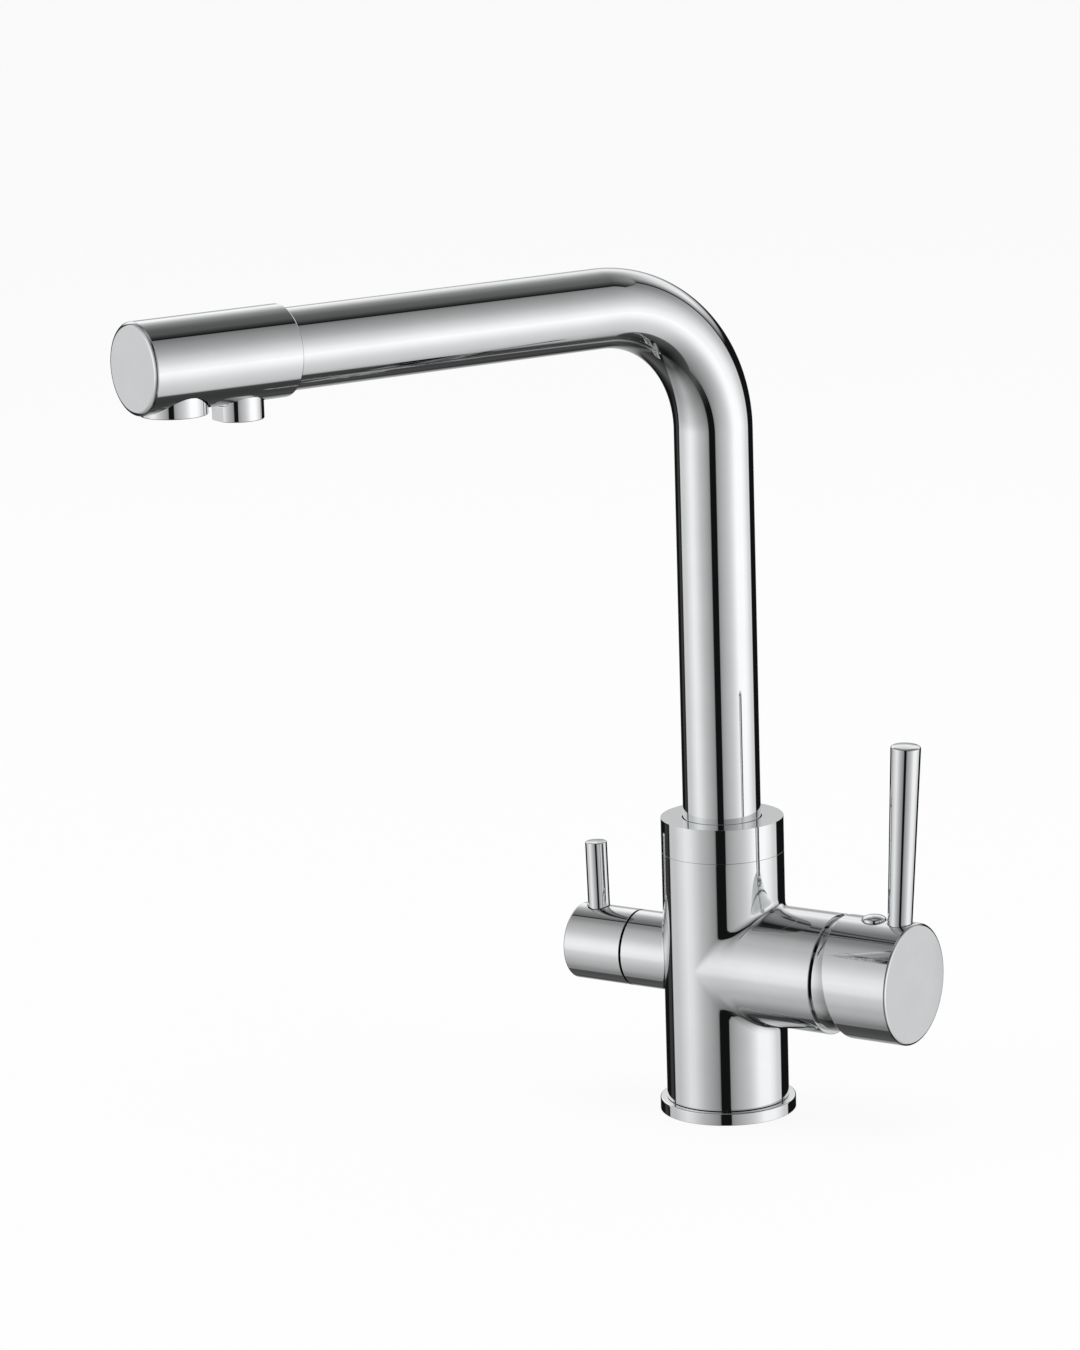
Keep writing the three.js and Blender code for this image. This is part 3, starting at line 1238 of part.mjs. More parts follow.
/** Filtered outlet with two spanner flats. */
function filteredHousing() {
  const top = filtered.bottom + FILTERED_FLAT_HEIGHT;
  const far = FILTERED_RADIUS + 1;
  const flat = block([FILTERED_FLAT, -far, filtered.bottom - PAST], [far, far, top]);
  const flats = flat.add(flat.rotate([0, 0, 180]));
  return aeratorHousing(filtered).subtract(moved(flats, FILTERED_X, 0, 0));
}

/** Plastic insert with a middle hole and a ring of holes for the jets. */
function aeratorInsert(outlet, holes) {
  const radius = outlet.neckRadius - OUTLET_WALL - GAP;
  const low = outlet.bottom + OUTLET_LIP + GAP;
  const body = bar(radius, low, outlet.neckTop - GAP, SIDES_MEDIUM);
  const well = bar(radius - INSERT_WALL, low + INSERT_FLOOR, outlet.neckTop + PAST, SIDES_MEDIUM);
  const hole = bar(INSERT_HOLE_RADIUS, low - PAST, low + INSERT_FLOOR + PAST, SIDES_FINE / 2);
  const pitch = outlet.jetPitch;
  let insert = body.subtract(well).subtract(hole);
  for (let i = 0; i < holes; i += 1) {
    const angle = (i / holes) * 2 * Math.PI;
    insert = insert.subtract(moved(hole, pitch * Math.cos(angle), pitch * Math.sin(angle), 0));
  }
  return moved(insert, outlet.x, 0, 0);
}

function aeratorSeal(outlet) {
  const low = outlet.neckTop + GAP;
  const bore = outlet.neckRadius + GAP - OUTLET_LEDGE_WIDTH;
  const seal = ring(bore, outlet.neckRadius, low, low + OUTLET_SEAL_HEIGHT, SIDES_MEDIUM);
  return moved(seal, outlet.x, 0, 0);
}

// ---------------------------------------------------------------- assembly
const base = group(
  piece('base_flange', baseFlange(), CHROME),
  piece('base_seal', baseSeal(), BLACK_RUBBER),
  piece('tap_body', tapBody(), CHROME),
  piece('spout_collar', spoutCollar(), CHROME),
  piece('lower_bearing', lowerBearing(), WHITE_PLASTIC),
  piece('upper_bearing', upperBearing(), WHITE_PLASTIC),
  piece('filtered_stem', filteredStem(), BRASS),
  piece('stem_seal', stemSeal(), BLACK_RUBBER),
);

const discs = group(
  piece('moving_disc', movingDisc(), CERAMIC),
  piece('disc_carrier', discCarrier(), GREY_PLASTIC),
);
discs.position.z = -discStroke() / 2;

const mixer = group(
  piece('cartridge_base_seal', cartridgeBaseSeal(), BLACK_RUBBER),
  piece('cartridge_base', cartridgeBase(), WHITE_PLASTIC),
  piece('cartridge_housing', cartridgeHousing(), WHITE_PLASTIC),
  piece('fixed_disc', fixedDisc(), CERAMIC),
  discs,
  piece('pivot_sleeve', pivotSleeve(), GREY_PLASTIC),
  piece('pivot_pin', pivotPin(), STEEL),
  piece('cartridge_nut', cartridgeNut(), BRASS),
  piece('cartridge_cover', cartridgeCover(), CHROME),
  piece('mixer_spindle', mixerSpindle(), STEEL),
  piece('mixer_handle', mixerHandle(), CHROME),
  piece('handle_screw', handleScrew(), STEEL),
  piece('index_plug', indexPlug(), CHROME),
  piece('mixer_lever', mixerLever(), CHROME),
);
mixer.position.z = MIXER_HEIGHT;

const { fixed: fixedPlace, moving: movingPlace } = valveLayers();
const filterValve = group(
  piece('valve_seal', valveSeal(), BLACK_RUBBER),
  piece('valve_fixed_disc', valveDisc(fixedPlace), CERAMIC),
  piece('valve_moving_disc', valveDisc(movingPlace), CERAMIC),
  piece('valve_headwork', headwork(), BRASS),
  piece('filter_spindle', filterSpindle(), BRASS),
  piece('spindle_seal', spindleSeal(), BLACK_RUBBER),
  piece('spindle_clip', spindleClip(), STEEL),
  piece('filter_handle', filterHandle(), CHROME),
  piece('filter_handle_screw', filterHandleScrew(), STEEL),
  piece('filter_lever', filterLever(), CHROME),
);
filterValve.position.z = FILTER_HEIGHT;
filterValve.rotation.z = Math.PI;

const head = group(
  piece('spout_head', spoutHead(), CHROME),
  piece('hose_nipple', hoseNipple(), BRASS),
  piece('mains_aerator_housing', aeratorHousing(mains), CHROME),
  piece('mains_aerator_insert', aeratorInsert(mains, 8), WHITE_PLASTIC),
  piece('mains_aerator_seal', aeratorSeal(mains), BLACK_RUBBER),
  piece('filter_aerator_housing', filteredHousing(), CHROME),
  piece('filter_aerator_insert', aeratorInsert(filtered, 6), WHITE_PLASTIC),
  piece('filter_aerator_seal', aeratorSeal(filtered), BLACK_RUBBER),
);
head.position.z = SPOUT_HEIGHT;

const spout = group(
  piece('spout_foot', spoutFoot(), BRASS),
  piece('foot_seal_lower', footSeal(0), BLACK_RUBBER),
  piece('foot_seal_upper', footSeal(1), BLACK_RUBBER),
  piece('spout_tube', spoutTube(), CHROME),
  piece('hose_connector', hoseConnector(), WHITE_PLASTIC),
  piece('filter_hose', filterHose(), CLEAR_HOSE),
  head,
);
spout.rotation.z = radians(SPOUT_TURN);

const tap = group(base, mixer, filterValve, spout);

export default tap;
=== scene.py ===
"""Looks of a three way filtered water tap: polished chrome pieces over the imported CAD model.

Blender works in metres, +Z up, in the CAD model's frame. Sizes in the classes are millimetres and
degrees, as on a drawing, and the helpers turn them to metres and radians.
"""

import logging
import math
from collections.abc import Callable, Iterable, Sequence
from dataclasses import dataclass, field
from enum import Enum
from itertools import pairwise, product

import bpy
from mathutils import Matrix, Vector
from mathutils.kdtree import KDTree


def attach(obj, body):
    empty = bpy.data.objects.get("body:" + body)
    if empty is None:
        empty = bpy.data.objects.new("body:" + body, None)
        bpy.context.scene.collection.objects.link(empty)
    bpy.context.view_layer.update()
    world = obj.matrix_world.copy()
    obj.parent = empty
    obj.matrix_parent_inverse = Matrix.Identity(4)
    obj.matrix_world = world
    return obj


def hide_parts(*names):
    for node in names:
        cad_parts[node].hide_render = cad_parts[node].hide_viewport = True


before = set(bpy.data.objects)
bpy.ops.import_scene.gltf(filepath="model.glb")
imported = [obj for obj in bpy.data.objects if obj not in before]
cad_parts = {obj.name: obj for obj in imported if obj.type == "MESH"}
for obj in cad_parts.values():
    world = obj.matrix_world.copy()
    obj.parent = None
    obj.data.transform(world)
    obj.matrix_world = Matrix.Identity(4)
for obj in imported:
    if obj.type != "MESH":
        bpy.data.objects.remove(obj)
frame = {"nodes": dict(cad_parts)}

MM = 0.001
WELD = 1e-6                 # vertices nearer than this, in metres, are one
CREASE = math.radians(30)   # edges sharper than this stay crisp
ON_SURFACE = 0.02           # a vertex this near to a round surface is on it
ALIKE = 0.97                # cosine between the normals of one smooth surface
SKIN = 0.01                 # faces this near to an end are its end face
GAP = 0.3                   # between pieces that touch on the real tap
PAST = 1.0                  # how far a cutter reaches past the face that it opens
FINE, ROUND, PLAIN, SMALL, TINY = 192, 144, 96, 48, 32   # faces round a piece or a cutter
MIXER_HEIGHT, FILTER_HEIGHT, ARM_HEIGHT = 55.65, 55.25, 297.6   # of their axes
MIXER_RADIUS, FILTER_RADIUS = 21.9, 13.95   # of the handles
ARM_TURN = -113.7           # of the spout at rest

Outline = Sequence[tuple[float, float]]
Bore = tuple[float, tuple[float, float], tuple[float, float]]
Point = tuple[float, float, float]
Row = Sequence[tuple[Vector, Vector]]
Piece = bpy.types.Object
Tree = bpy.types.NodeTree

log = logging.getLogger("tap")


class Body(Enum):
    """Moving bodies of the CAD model."""

    BASE = "base"
    SPOUT = "spout"
    MIXER_GRIP = "mixer_grip"
    FILTER_GRIP = "filter_grip"


# ---- nodes and colours
def linear(colour: str) -> tuple[float, float, float, float]:
    """Turns an sRGB hex colour to linear light.

    Args:
        colour: six hex digits after a hash.

    Returns:
        Red, green, blue and alpha, as a shader's socket takes them.
    """
    shares = [int(colour[i:i + 2], 16) / 255 for i in (1, 3, 5)]
    red, green, blue = (s / 12.92 if s <= 0.04045 else ((s + 0.055) / 1.055) ** 2.4 for s in shares)
    return red, green, blue, 1.0


def emptied(owner: bpy.types.Material | bpy.types.World) -> Tree:
    """Empties the node tree of a new material or world.

    Args:
        owner: of the tree.

    Returns:
        The tree.
    """
    owner.use_nodes = True
    owner.node_tree.nodes.clear()
    return owner.node_tree


def add_node(
    tree: Tree, kind: str, inputs: dict[str | int, object] | None = None, **settings: object,
) -> bpy.types.Node:
    """Adds a node with its settings and links.

    Args:
        tree: node tree that takes the node.
        kind: the node's type.
        inputs: for each input socket a value, a socket to link, or a node to link by its first.
        settings: attributes of the node.

    Returns:
        The new node.
    """
    node = tree.nodes.new(kind)
    for name, value in settings.items():
        setattr(node, name, value)
    for name, value in (inputs or {}).items():
        source = value.outputs[0] if isinstance(value, bpy.types.Node) else value
        if isinstance(source, bpy.types.NodeSocket):
            tree.links.new(source, node.inputs[name])
        else:
            node.inputs[name].default_value = source
    return node


def set_stops(ramp: bpy.types.ColorRamp, stops: Sequence[tuple[float, tuple]]) -> None:
    """Gives a colour ramp its stops.

    Args:
        ramp: the ramp, with its two first stops.
        stops: place from 0 to 1 and colour of each stop, in order.
    """
    while len(ramp.elements) < len(stops):
        ramp.elements.new(1.0)
    for element, (place, _) in zip(ramp.elements, stops):
        element.position = place
    for element, (_, colour) in zip(ramp.elements, stops):
        element.color = colour


# ---- finishes
@dataclass(frozen=True)
class Finish:
    """A procedural material: tone, gloss and relief that vary over the surface.

    Attributes:
        name: name of the real material and how its surface was made.
        slot: material slot of the CAD record.
        colour: main sRGB colour.
        tint: sRGB colour of its slight stains or batch change.
        metallic: 1 for a metal, 0 for the rest.
        roughness: lowest and highest roughness.
        mottle: size of the change in tone and gloss, in mm.
        grain: size of the relief's grain, in mm.
        relief: depth of the relief, in mm.
        stretch: how much finer the grain is along each axis.
        scatter: subsurface share, for plastics that glow a little.
    """

    name: str
    slot: str
    colour: str
    tint: str
    metallic: float
    roughness: tuple[float, float]
    mottle: float
    grain: float
    relief: float
    stretch: Point = (1.0, 1.0, 1.0)
    scatter: float = 0.0

    def material(self) -> bpy.types.Material:
        """The material, made once."""
        return bpy.data.materials.get(self.name) or self._make()

    def _make(self) -> bpy.types.Material:
        """Builds the nodes.

        Returns:
            The new material.
        """
        material = bpy.data.materials.new(self.name)
        material.use_nodes = True
        tree = material.node_tree
        shader = tree.nodes["Principled BSDF"]
        place = add_node(tree, "ShaderNodeTexCoord").outputs["Object"]
        mottle = add_node(tree, "ShaderNodeTexNoise", {
            "Vector": place, "Scale": 1 / (self.mottle * MM), "Detail": 3.0, "Roughness": 0.55,
        })
        tone = add_node(tree, "ShaderNodeValToRGB", {"Fac": mottle})
        set_stops(tone.color_ramp, [(0.35, linear(self.colour)), (0.7, linear(self.tint))])
        low, high = self.roughness
        gloss = add_node(tree, "ShaderNodeMapRange", {
            "Value": mottle, "From Min": 0.3, "From Max": 0.7, "To Min": low, "To Max": high,
        })
        stretched = add_node(tree, "ShaderNodeMapping", {"Vector": place, "Scale": self.stretch})
        grain = add_node(tree, "ShaderNodeTexNoise", {
            "Vector": stretched, "Scale": 1 / (self.grain * MM), "Detail": 2.0,
        })
        bump = add_node(tree, "ShaderNodeBump", {
            "Height": grain, "Strength": 1.0, "Distance": self.relief * MM,
        })
        for name, node in (("Base Color", tone), ("Roughness", gloss), ("Normal", bump)):
            tree.links.new(node.outputs[0], shader.inputs[name])
        shader.inputs["Metallic"].default_value = self.metallic
        if self.scatter:
            shader.inputs["Subsurface Weight"].default_value = self.scatter
            shader.inputs["Subsurface Scale"].default_value = MM
        return material


# Mirror bright with a hardly visible haze: the eye sees the room in it, not the metal.
POLISHED_CHROME = Finish(
    "polished_chrome_plate", "chrome", "#e6e7e8", "#e2e4e5", 1.0, (0.025, 0.045), 14, 5, 0.00004,
)
# Turned brass, not plated inside the tap: warm, with fine tool lines that blur what it reflects.
TURNED_BRASS = Finish(
    "turned_brass", "brass", "#d6b469", "#c79f52", 1.0, (0.24, 0.36), 9, 0.4, 0.004,
    (1.0, 1.0, 6.0),
)
# Drawn stainless steel of pins, clips and screws: grey with a dull sheen.
DRAWN_STEEL = Finish(
    "drawn_stainless_steel", "stainless_steel", "#c2c3c4", "#aeb0b2", 1.0, (0.22, 0.34), 5, 0.3,
    0.003, (1.0, 6.0, 1.0),
)
# Lapped alumina: ivory white, silky and even.
LAPPED_CERAMIC = Finish(
    "lapped_alumina_ceramic", "ceramic", "#f1efe8", "#e9e6dd", 0.0, (0.16, 0.26), 6, 0.25, 0.001,
    scatter=0.15,
)
# Moulded acetal: white with a faint waxy bloom and a fine mould grain.
MOULDED_ACETAL = Finish(
    "moulded_white_acetal", "white_acetal", "#e8e8e3", "#dedfd9", 0.0, (0.34, 0.48), 7, 0.5, 0.006,
    scatter=0.1,
)
# Glass filled nylon of the cartridge: grey, slightly mottled by its fibres.
MOULDED_NYLON = Finish(
    "moulded_grey_nylon", "grey_plastic", "#8d9297", "#7f858b", 0.0, (0.42, 0.56), 4, 0.35, 0.008,
)
# Nitrile rubber: almost black, with a dusty bloom.
NITRILE_RUBBER = Finish(
    "moulded_nitrile_rubber", "black_rubber", "#1f1f21", "#2a2a2c", 0.0, (0.62, 0.78), 3, 0.3, 0.01,
)
# Food grade polyethylene pipe: milky, with lines drawn along it by the die.
EXTRUDED_PIPE = Finish(
    "extruded_polyethylene", "hose_plastic", "#dde3e6", "#d2d9dd", 0.0, (0.3, 0.42), 8, 0.4, 0.004,
    (4.0, 4.0, 1.0), scatter=0.2,
)
# Painted shade: the metal facing the gaps at the filter branch's end and at the back of the filter
# handle is painted dark for the shade that falls in those gaps. It is also rougher, so it hides
# what is behind.
PAINTED_GAP_SHADE = Finish(
    "chrome_with_painted_gap_shade", "chrome", "#3a3938", "#302f2f", 1.0, (0.5, 0.62), 6, 0.5, 0.002,
)
SLOT_FINISHES = (
    POLISHED_CHROME, TURNED_BRASS, DRAWN_STEEL, LAPPED_CERAMIC, MOULDED_ACETAL, MOULDED_NYLON,
    NITRILE_RUBBER, EXTRUDED_PIPE,
)


# ---- places
def ease(share: float) -> float:
    """A share from 0 to 1 with a smooth start and end."""
    share = min(max(share, 0.0), 1.0)
    return share * share * (3 - 2 * share)


def upright_at(x: float, y: float, z: float, turn: float = 0.0) -> Matrix:
    """Place of an upright piece whose origin is moved, in mm, before it turns about Z."""
    return Matrix.Rotation(math.radians(turn), 4, "Z") @ Matrix.Translation(Vector((x, y, z)) * MM)


def along_x(height: float, turn: float = 0.0) -> Matrix:
    """Place of a piece that lies along X at a height in mm, turned about Z by degrees."""
    return upright_at(0, 0, height, turn) @ Matrix.Rotation(math.radians(90), 4, "Y")


ORIGIN = upright_at(0, 0, 0)


# ---- modelling
class Corner(Enum):
    """Corner of a half section, by the quarter turn from outward at which its rounding starts."""

    LOW_OUT = -1
    HIGH_OUT = 0
    HIGH_IN = 1
    LOW_IN = 2

    def at(self, radius: float, along: float, size: float, steps: int = 8) -> Outline:
        """Points of the rounded corner.

        Args:
            radius: of the sharp corner, from the piece's axis.
            along: place of the sharp corner along the axis.
            size: radius of the rounding.
            steps: faces along it.

        Returns:
            Pairs of radius and place along the axis.
        """
        radius += size if self in (Corner.HIGH_IN, Corner.LOW_IN) else -size
        along += size if self in (Corner.LOW_OUT, Corner.LOW_IN) else -size
        turns = (math.radians(90 * self.value + 90 * i / steps) for i in range(steps + 1))
        return [(radius + size * math.cos(t), along + size * math.sin(t)) for t in turns]


def only(piece: Piece) -> None:
    """Selects one piece and nothing else.

    Args:
        piece: to select.
    """
    bpy.ops.object.select_all(action="DESELECT")
    piece.select_set(True)
    bpy.context.view_layer.objects.active = piece


def set_down(piece: Piece, place: Matrix) -> None:
    """Moves a piece to its place and leaves its object at the origin.

    Args:
        piece: to move.
        place: that its mesh takes.
    """
    only(piece)
    piece.matrix_world = place @ piece.matrix_world
    bpy.ops.object.transform_apply(location=True, rotation=True, scale=True)


def opened_up(name: str) -> Piece:
    """Names the primitive that was just added and selects all of it in edit mode.

    Args:
        name: of the piece.

    Returns:
        The piece.
    """
    piece = bpy.context.object
    piece.name = piece.data.name = name
    bpy.ops.object.mode_set(mode="EDIT")
    bpy.ops.mesh.select_all(action="SELECT")
    return piece


def close_up() -> None:
    """Merges doubles, turns faces outward and leaves edit mode."""
    bpy.ops.mesh.select_all(action="SELECT")
    bpy.ops.mesh.remove_doubles(threshold=WELD)
    bpy.ops.mesh.normals_make_consistent(inside=False)
    bpy.ops.object.mode_set(mode="OBJECT")


def turned(name: str, outline: Outline, place: Matrix, sides: int = ROUND) -> Piece:
    """Turns a piece from its half section, as on a lathe.

    Args:
        name: of the piece.
        outline: radius and place along the axis of each point, in mm. It is closed, or both of its
            ends are on the axis.
        place: turns and moves the piece from the Z axis.
        sides: faces round the piece.

    Returns:
        The piece, with its place in its mesh.
    """
    bpy.ops.object.select_all(action="DESELECT")
    radius, along = outline[0]
    bpy.ops.mesh.primitive_plane_add(size=MM, location=(radius * MM, 0, along * MM))
    piece = opened_up(name)
    bpy.ops.mesh.merge(type="CENTER")
    for (r0, a0), (r1, a1) in pairwise(outline):
        step = ((r1 - r0) * MM, 0, (a1 - a0) * MM)
        bpy.ops.mesh.extrude_region_move(TRANSFORM_OT_translate={"value": step})
    bpy.ops.mesh.select_all(action="SELECT")
    bpy.ops.mesh.spin(steps=sides, angle=2 * math.pi, center=(0, 0, 0), axis=(0, 0, 1))
    close_up()
    set_down(piece, place)
    return piece


def hole(place: Matrix, sides: int, start: float, *bore: tuple[float, float]) -> Piece:
    """Round tool that cuts a stepped hole.

    Args:
        place: its axis is this place's Z.
        sides: faces round the hole.
        start: where the hole starts along its axis, in mm.
        bore: radius of each step and where it ends.

    Returns:
        The tool.
    """
    outline = [(0.0, start)]
    for radius, end in bore:
        outline += [(radius, outline[-1][1]), (radius, end)]
    return turned("cutter", [*outline, (0.0, outline[-1][1])], place, sides)


def keep_selected(piece: Piece, test: Callable[[Vector], bool]) -> None:
    """Deselects the points of a piece in edit mode that fail a test.

    Args:
        piece: in edit mode.
        test: says of a point whether it stays selected.
    """
    bpy.ops.object.mode_set(mode="OBJECT")
    mesh = piece.data
    for vertex in mesh.vertices:
        vertex.select = vertex.select and test(vertex.co)
    for edge in mesh.edges:
        edge.select = edge.select and all(mesh.vertices[v].select for v in edge.vertices)
    for polygon in mesh.polygons:
        polygon.select = False
    bpy.ops.object.mode_set(mode="EDIT")


def finish_with(piece: Piece, kind: str, **settings: object) -> None:
    """Applies a modifier with its settings.

    Args:
        piece: that takes it.
        kind: the modifier's type.
        settings: attributes of the modifier.
    """
    only(piece)
    modifier = piece.modifiers.new(kind.lower(), kind)
    for name, value in settings.items():
        setattr(modifier, name, value)
    bpy.ops.object.modifier_apply(modifier=modifier.name)


def cut(piece: Piece, cutters: Iterable[Piece]) -> None:
    """Cuts a piece with closed tools, which are then thrown away.

    Args:
        piece: to cut.
        cutters: the tools, in order.
    """
    for cutter in cutters:
        finish_with(piece, "BOOLEAN", operation="DIFFERENCE", object=cutter, solver="EXACT")
        bpy.data.objects.remove(cutter)


@dataclass(frozen=True)
class Cylinder:
    """A round surface, whose true normals a cut piece gets back.

    Attributes:
        place: its axis is this place's Z.
        radius: in mm.
    """

    place: Matrix
    radius: float

    def normal_at(self, point: Vector) -> Vector | None:
        """The outward normal at a point, or None where the point isn't on the surface.

        Args:
            point: in metres.

        Returns:
            The normal or None.
        """
        flat = self.place.inverted() @ point
        flat.z = 0
        if abs(flat.length - self.radius * MM) > ON_SURFACE * MM:
            return None
        return (self.place.to_3x3() @ flat).normalized()


@dataclass
class Net:
    """Mesh of a casting whose blends the edit tools can't make clean enough to mirror a room.

    The body's three round forms meet in rolled blends. Bevels over their crossing give faces that
    ripple in chrome, so the rows of points are worked out from the forms, with their normals.

    Attributes:
        points: of all rows.
        faces: as indices of points.
        normals: of the points.
    """

    points: list[Vector] = field(default_factory=list)
    faces: list[tuple[int, ...]] = field(default_factory=list)
    normals: list[Vector] = field(default_factory=list)

    def _take(self, row: Row) -> None:
        """Takes a row's points, in mm, and their normals."""
        self.points += [point * MM for point, _ in row]
        self.normals += [normal for _, normal in row]

    def rows(self, rows: Iterable[Row]) -> None:
        """Adds quads between closed rows of points.

        Args:
            rows: as long as each other, in order.
        """
        start, rows = len(self.points), list(rows)
        count = len(rows[0])
        for row in rows:
            self._take(row)
        for i, j in product(range(len(rows) - 1), range(count)):
            near, far, after = start + i * count, start + (i + 1) * count, (j + 1) % count
            self.faces.append((near + j, near + after, far + after, far + j))

    def cap(self, row: Row) -> None:
        """Closes a row with one flat face.

        Args:
            row: round the face.
        """
        start = len(self.points)
        self._take(row)
        self.faces.append(tuple(range(start, start + len(row))))

    def piece(self, name: str) -> Piece:
        """Makes the welded piece.

        Args:
            name: of the piece.

        Returns:
            The piece.
        """
        mesh = bpy.data.meshes.new(name)
        mesh.from_pydata(self.points, [], self.faces)
        piece = bpy.data.objects.new(name, mesh)
        bpy.context.scene.collection.objects.link(piece)
        only(piece)
        bpy.ops.object.mode_set(mode="EDIT")
        close_up()
        return piece

    def tree(self) -> KDTree:
        """Makes a tree that finds points by place.

        Returns:
            The tree, with the points' indices.
        """
        tree = KDTree(len(self.points))
        for i, point in enumerate(self.points):
            tree.insert(point, i)
        tree.balance()
        return tree


def polish(piece: Piece, surfaces: Sequence[Cylinder], net: Net | None) -> None:
    """Makes a piece smooth, so that its reflections run clean up to each edge.

    Args:
        piece: with all its cuts made.
        surfaces: round surfaces whose normals are set exactly.
        net: points whose normals are known, where the piece has them.
    """
    only(piece)
    bpy.ops.object.shade_smooth_by_angle(angle=CREASE)
    finish_with(piece, "WEIGHTED_NORMAL", mode="FACE_AREA", weight=100, keep_sharp=True)
    if not surfaces:
        return
    mesh, tree = piece.data, net.tree() if net else None
    normals = [corner.vector.copy() for corner in mesh.corner_normals]
    found: dict[int, list[Vector]] = {}
    for polygon in mesh.polygons:
        for corner in polygon.loop_indices:
            vertex = mesh.loops[corner].vertex_index
            if vertex not in found:
                point = mesh.vertices[vertex].co
                known = [net.normals[i] for _, i, _ in tree.find_range(point, WELD)] if net else []
                known = known or [surface.normal_at(point) for surface in surfaces]
                found[vertex] = [normal for normal in known if normal]
            best = max(found[vertex], key=lambda n: abs(n.dot(polygon.normal)), default=None)
            if best and abs(best.dot(polygon.normal)) > ALIKE:
                normals[corner] = best if best.dot(polygon.normal) > 0 else -best
    mesh.normals_split_custom_set(normals)


def dress(
    piece: Piece, body: Body, *nodes: str, finish: Finish = POLISHED_CHROME,
    surfaces: Sequence[Cylinder] = (), net: Net | None = None,
) -> None:
    """Polishes a new piece, gives it its material and puts it in place of CAD nodes.

    Args:
        piece: at the origin, with its place in its mesh.
        body: that it moves with.
        nodes: that it stands for.
        finish: its material.
        surfaces: its round surfaces that were cut.
        net: that it was made from.
    """
    polish(piece, surfaces, net)
    piece.data.materials.clear()
    piece.data.materials.append(finish.material())
    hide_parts(*nodes)
    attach(piece, body.value)
    log.info("%s: %d faces, for %s", piece.name, len(piece.data.polygons), ", ".join(nodes))


def coat(piece: Piece, finish: Finish, test: Callable[[Vector], bool]) -> None:
    """Gives some faces of a dressed piece another finish.

    Args:
        piece: with its main material.
        finish: of those faces.
        test: says of a face's middle, in mm, whether the face is one of them.
    """
    piece.data.materials.append(finish.material())
    for polygon in piece.data.polygons:
        if test(polygon.center / MM):
            polygon.material_index = 1


# ---- base and body
@dataclass
class Branch:
    """A round branch of the body.

    Attributes:
        side: 1 along +X, -1 along -X.
        height: of its axis.
        radius: of its outside.
        end: place of its end face, from the body's axis.
        blend: radius of the blend into the barrel.
        edge: rounding of its end.
    """

    side: int
    height: float
    radius: float
    end: float
    blend: float
    edge: float

    def blend_at(self, turn: float, barrel: float) -> tuple[Vector, Vector, Vector]:
        """Middle of the rolled ball and its directions to the barrel and to the branch.

        Args:
            turn: angle round the branch's axis from the top, in radians.
            barrel: radius of the barrel.

        Returns:
            Middle of the ball, direction to the barrel, direction to the branch.
        """
        out = self.radius + self.blend
        y, z = out * math.sin(turn), out * math.cos(turn)
        x = math.sqrt((barrel + self.blend) ** 2 - y * y)
        to_barrel = Vector((-self.side * x, -y, 0)).normalized()
        to_branch = Vector((0, -math.sin(turn), -math.cos(turn)))
        return Vector((self.side * x, y, self.height + z)), to_barrel, to_branch


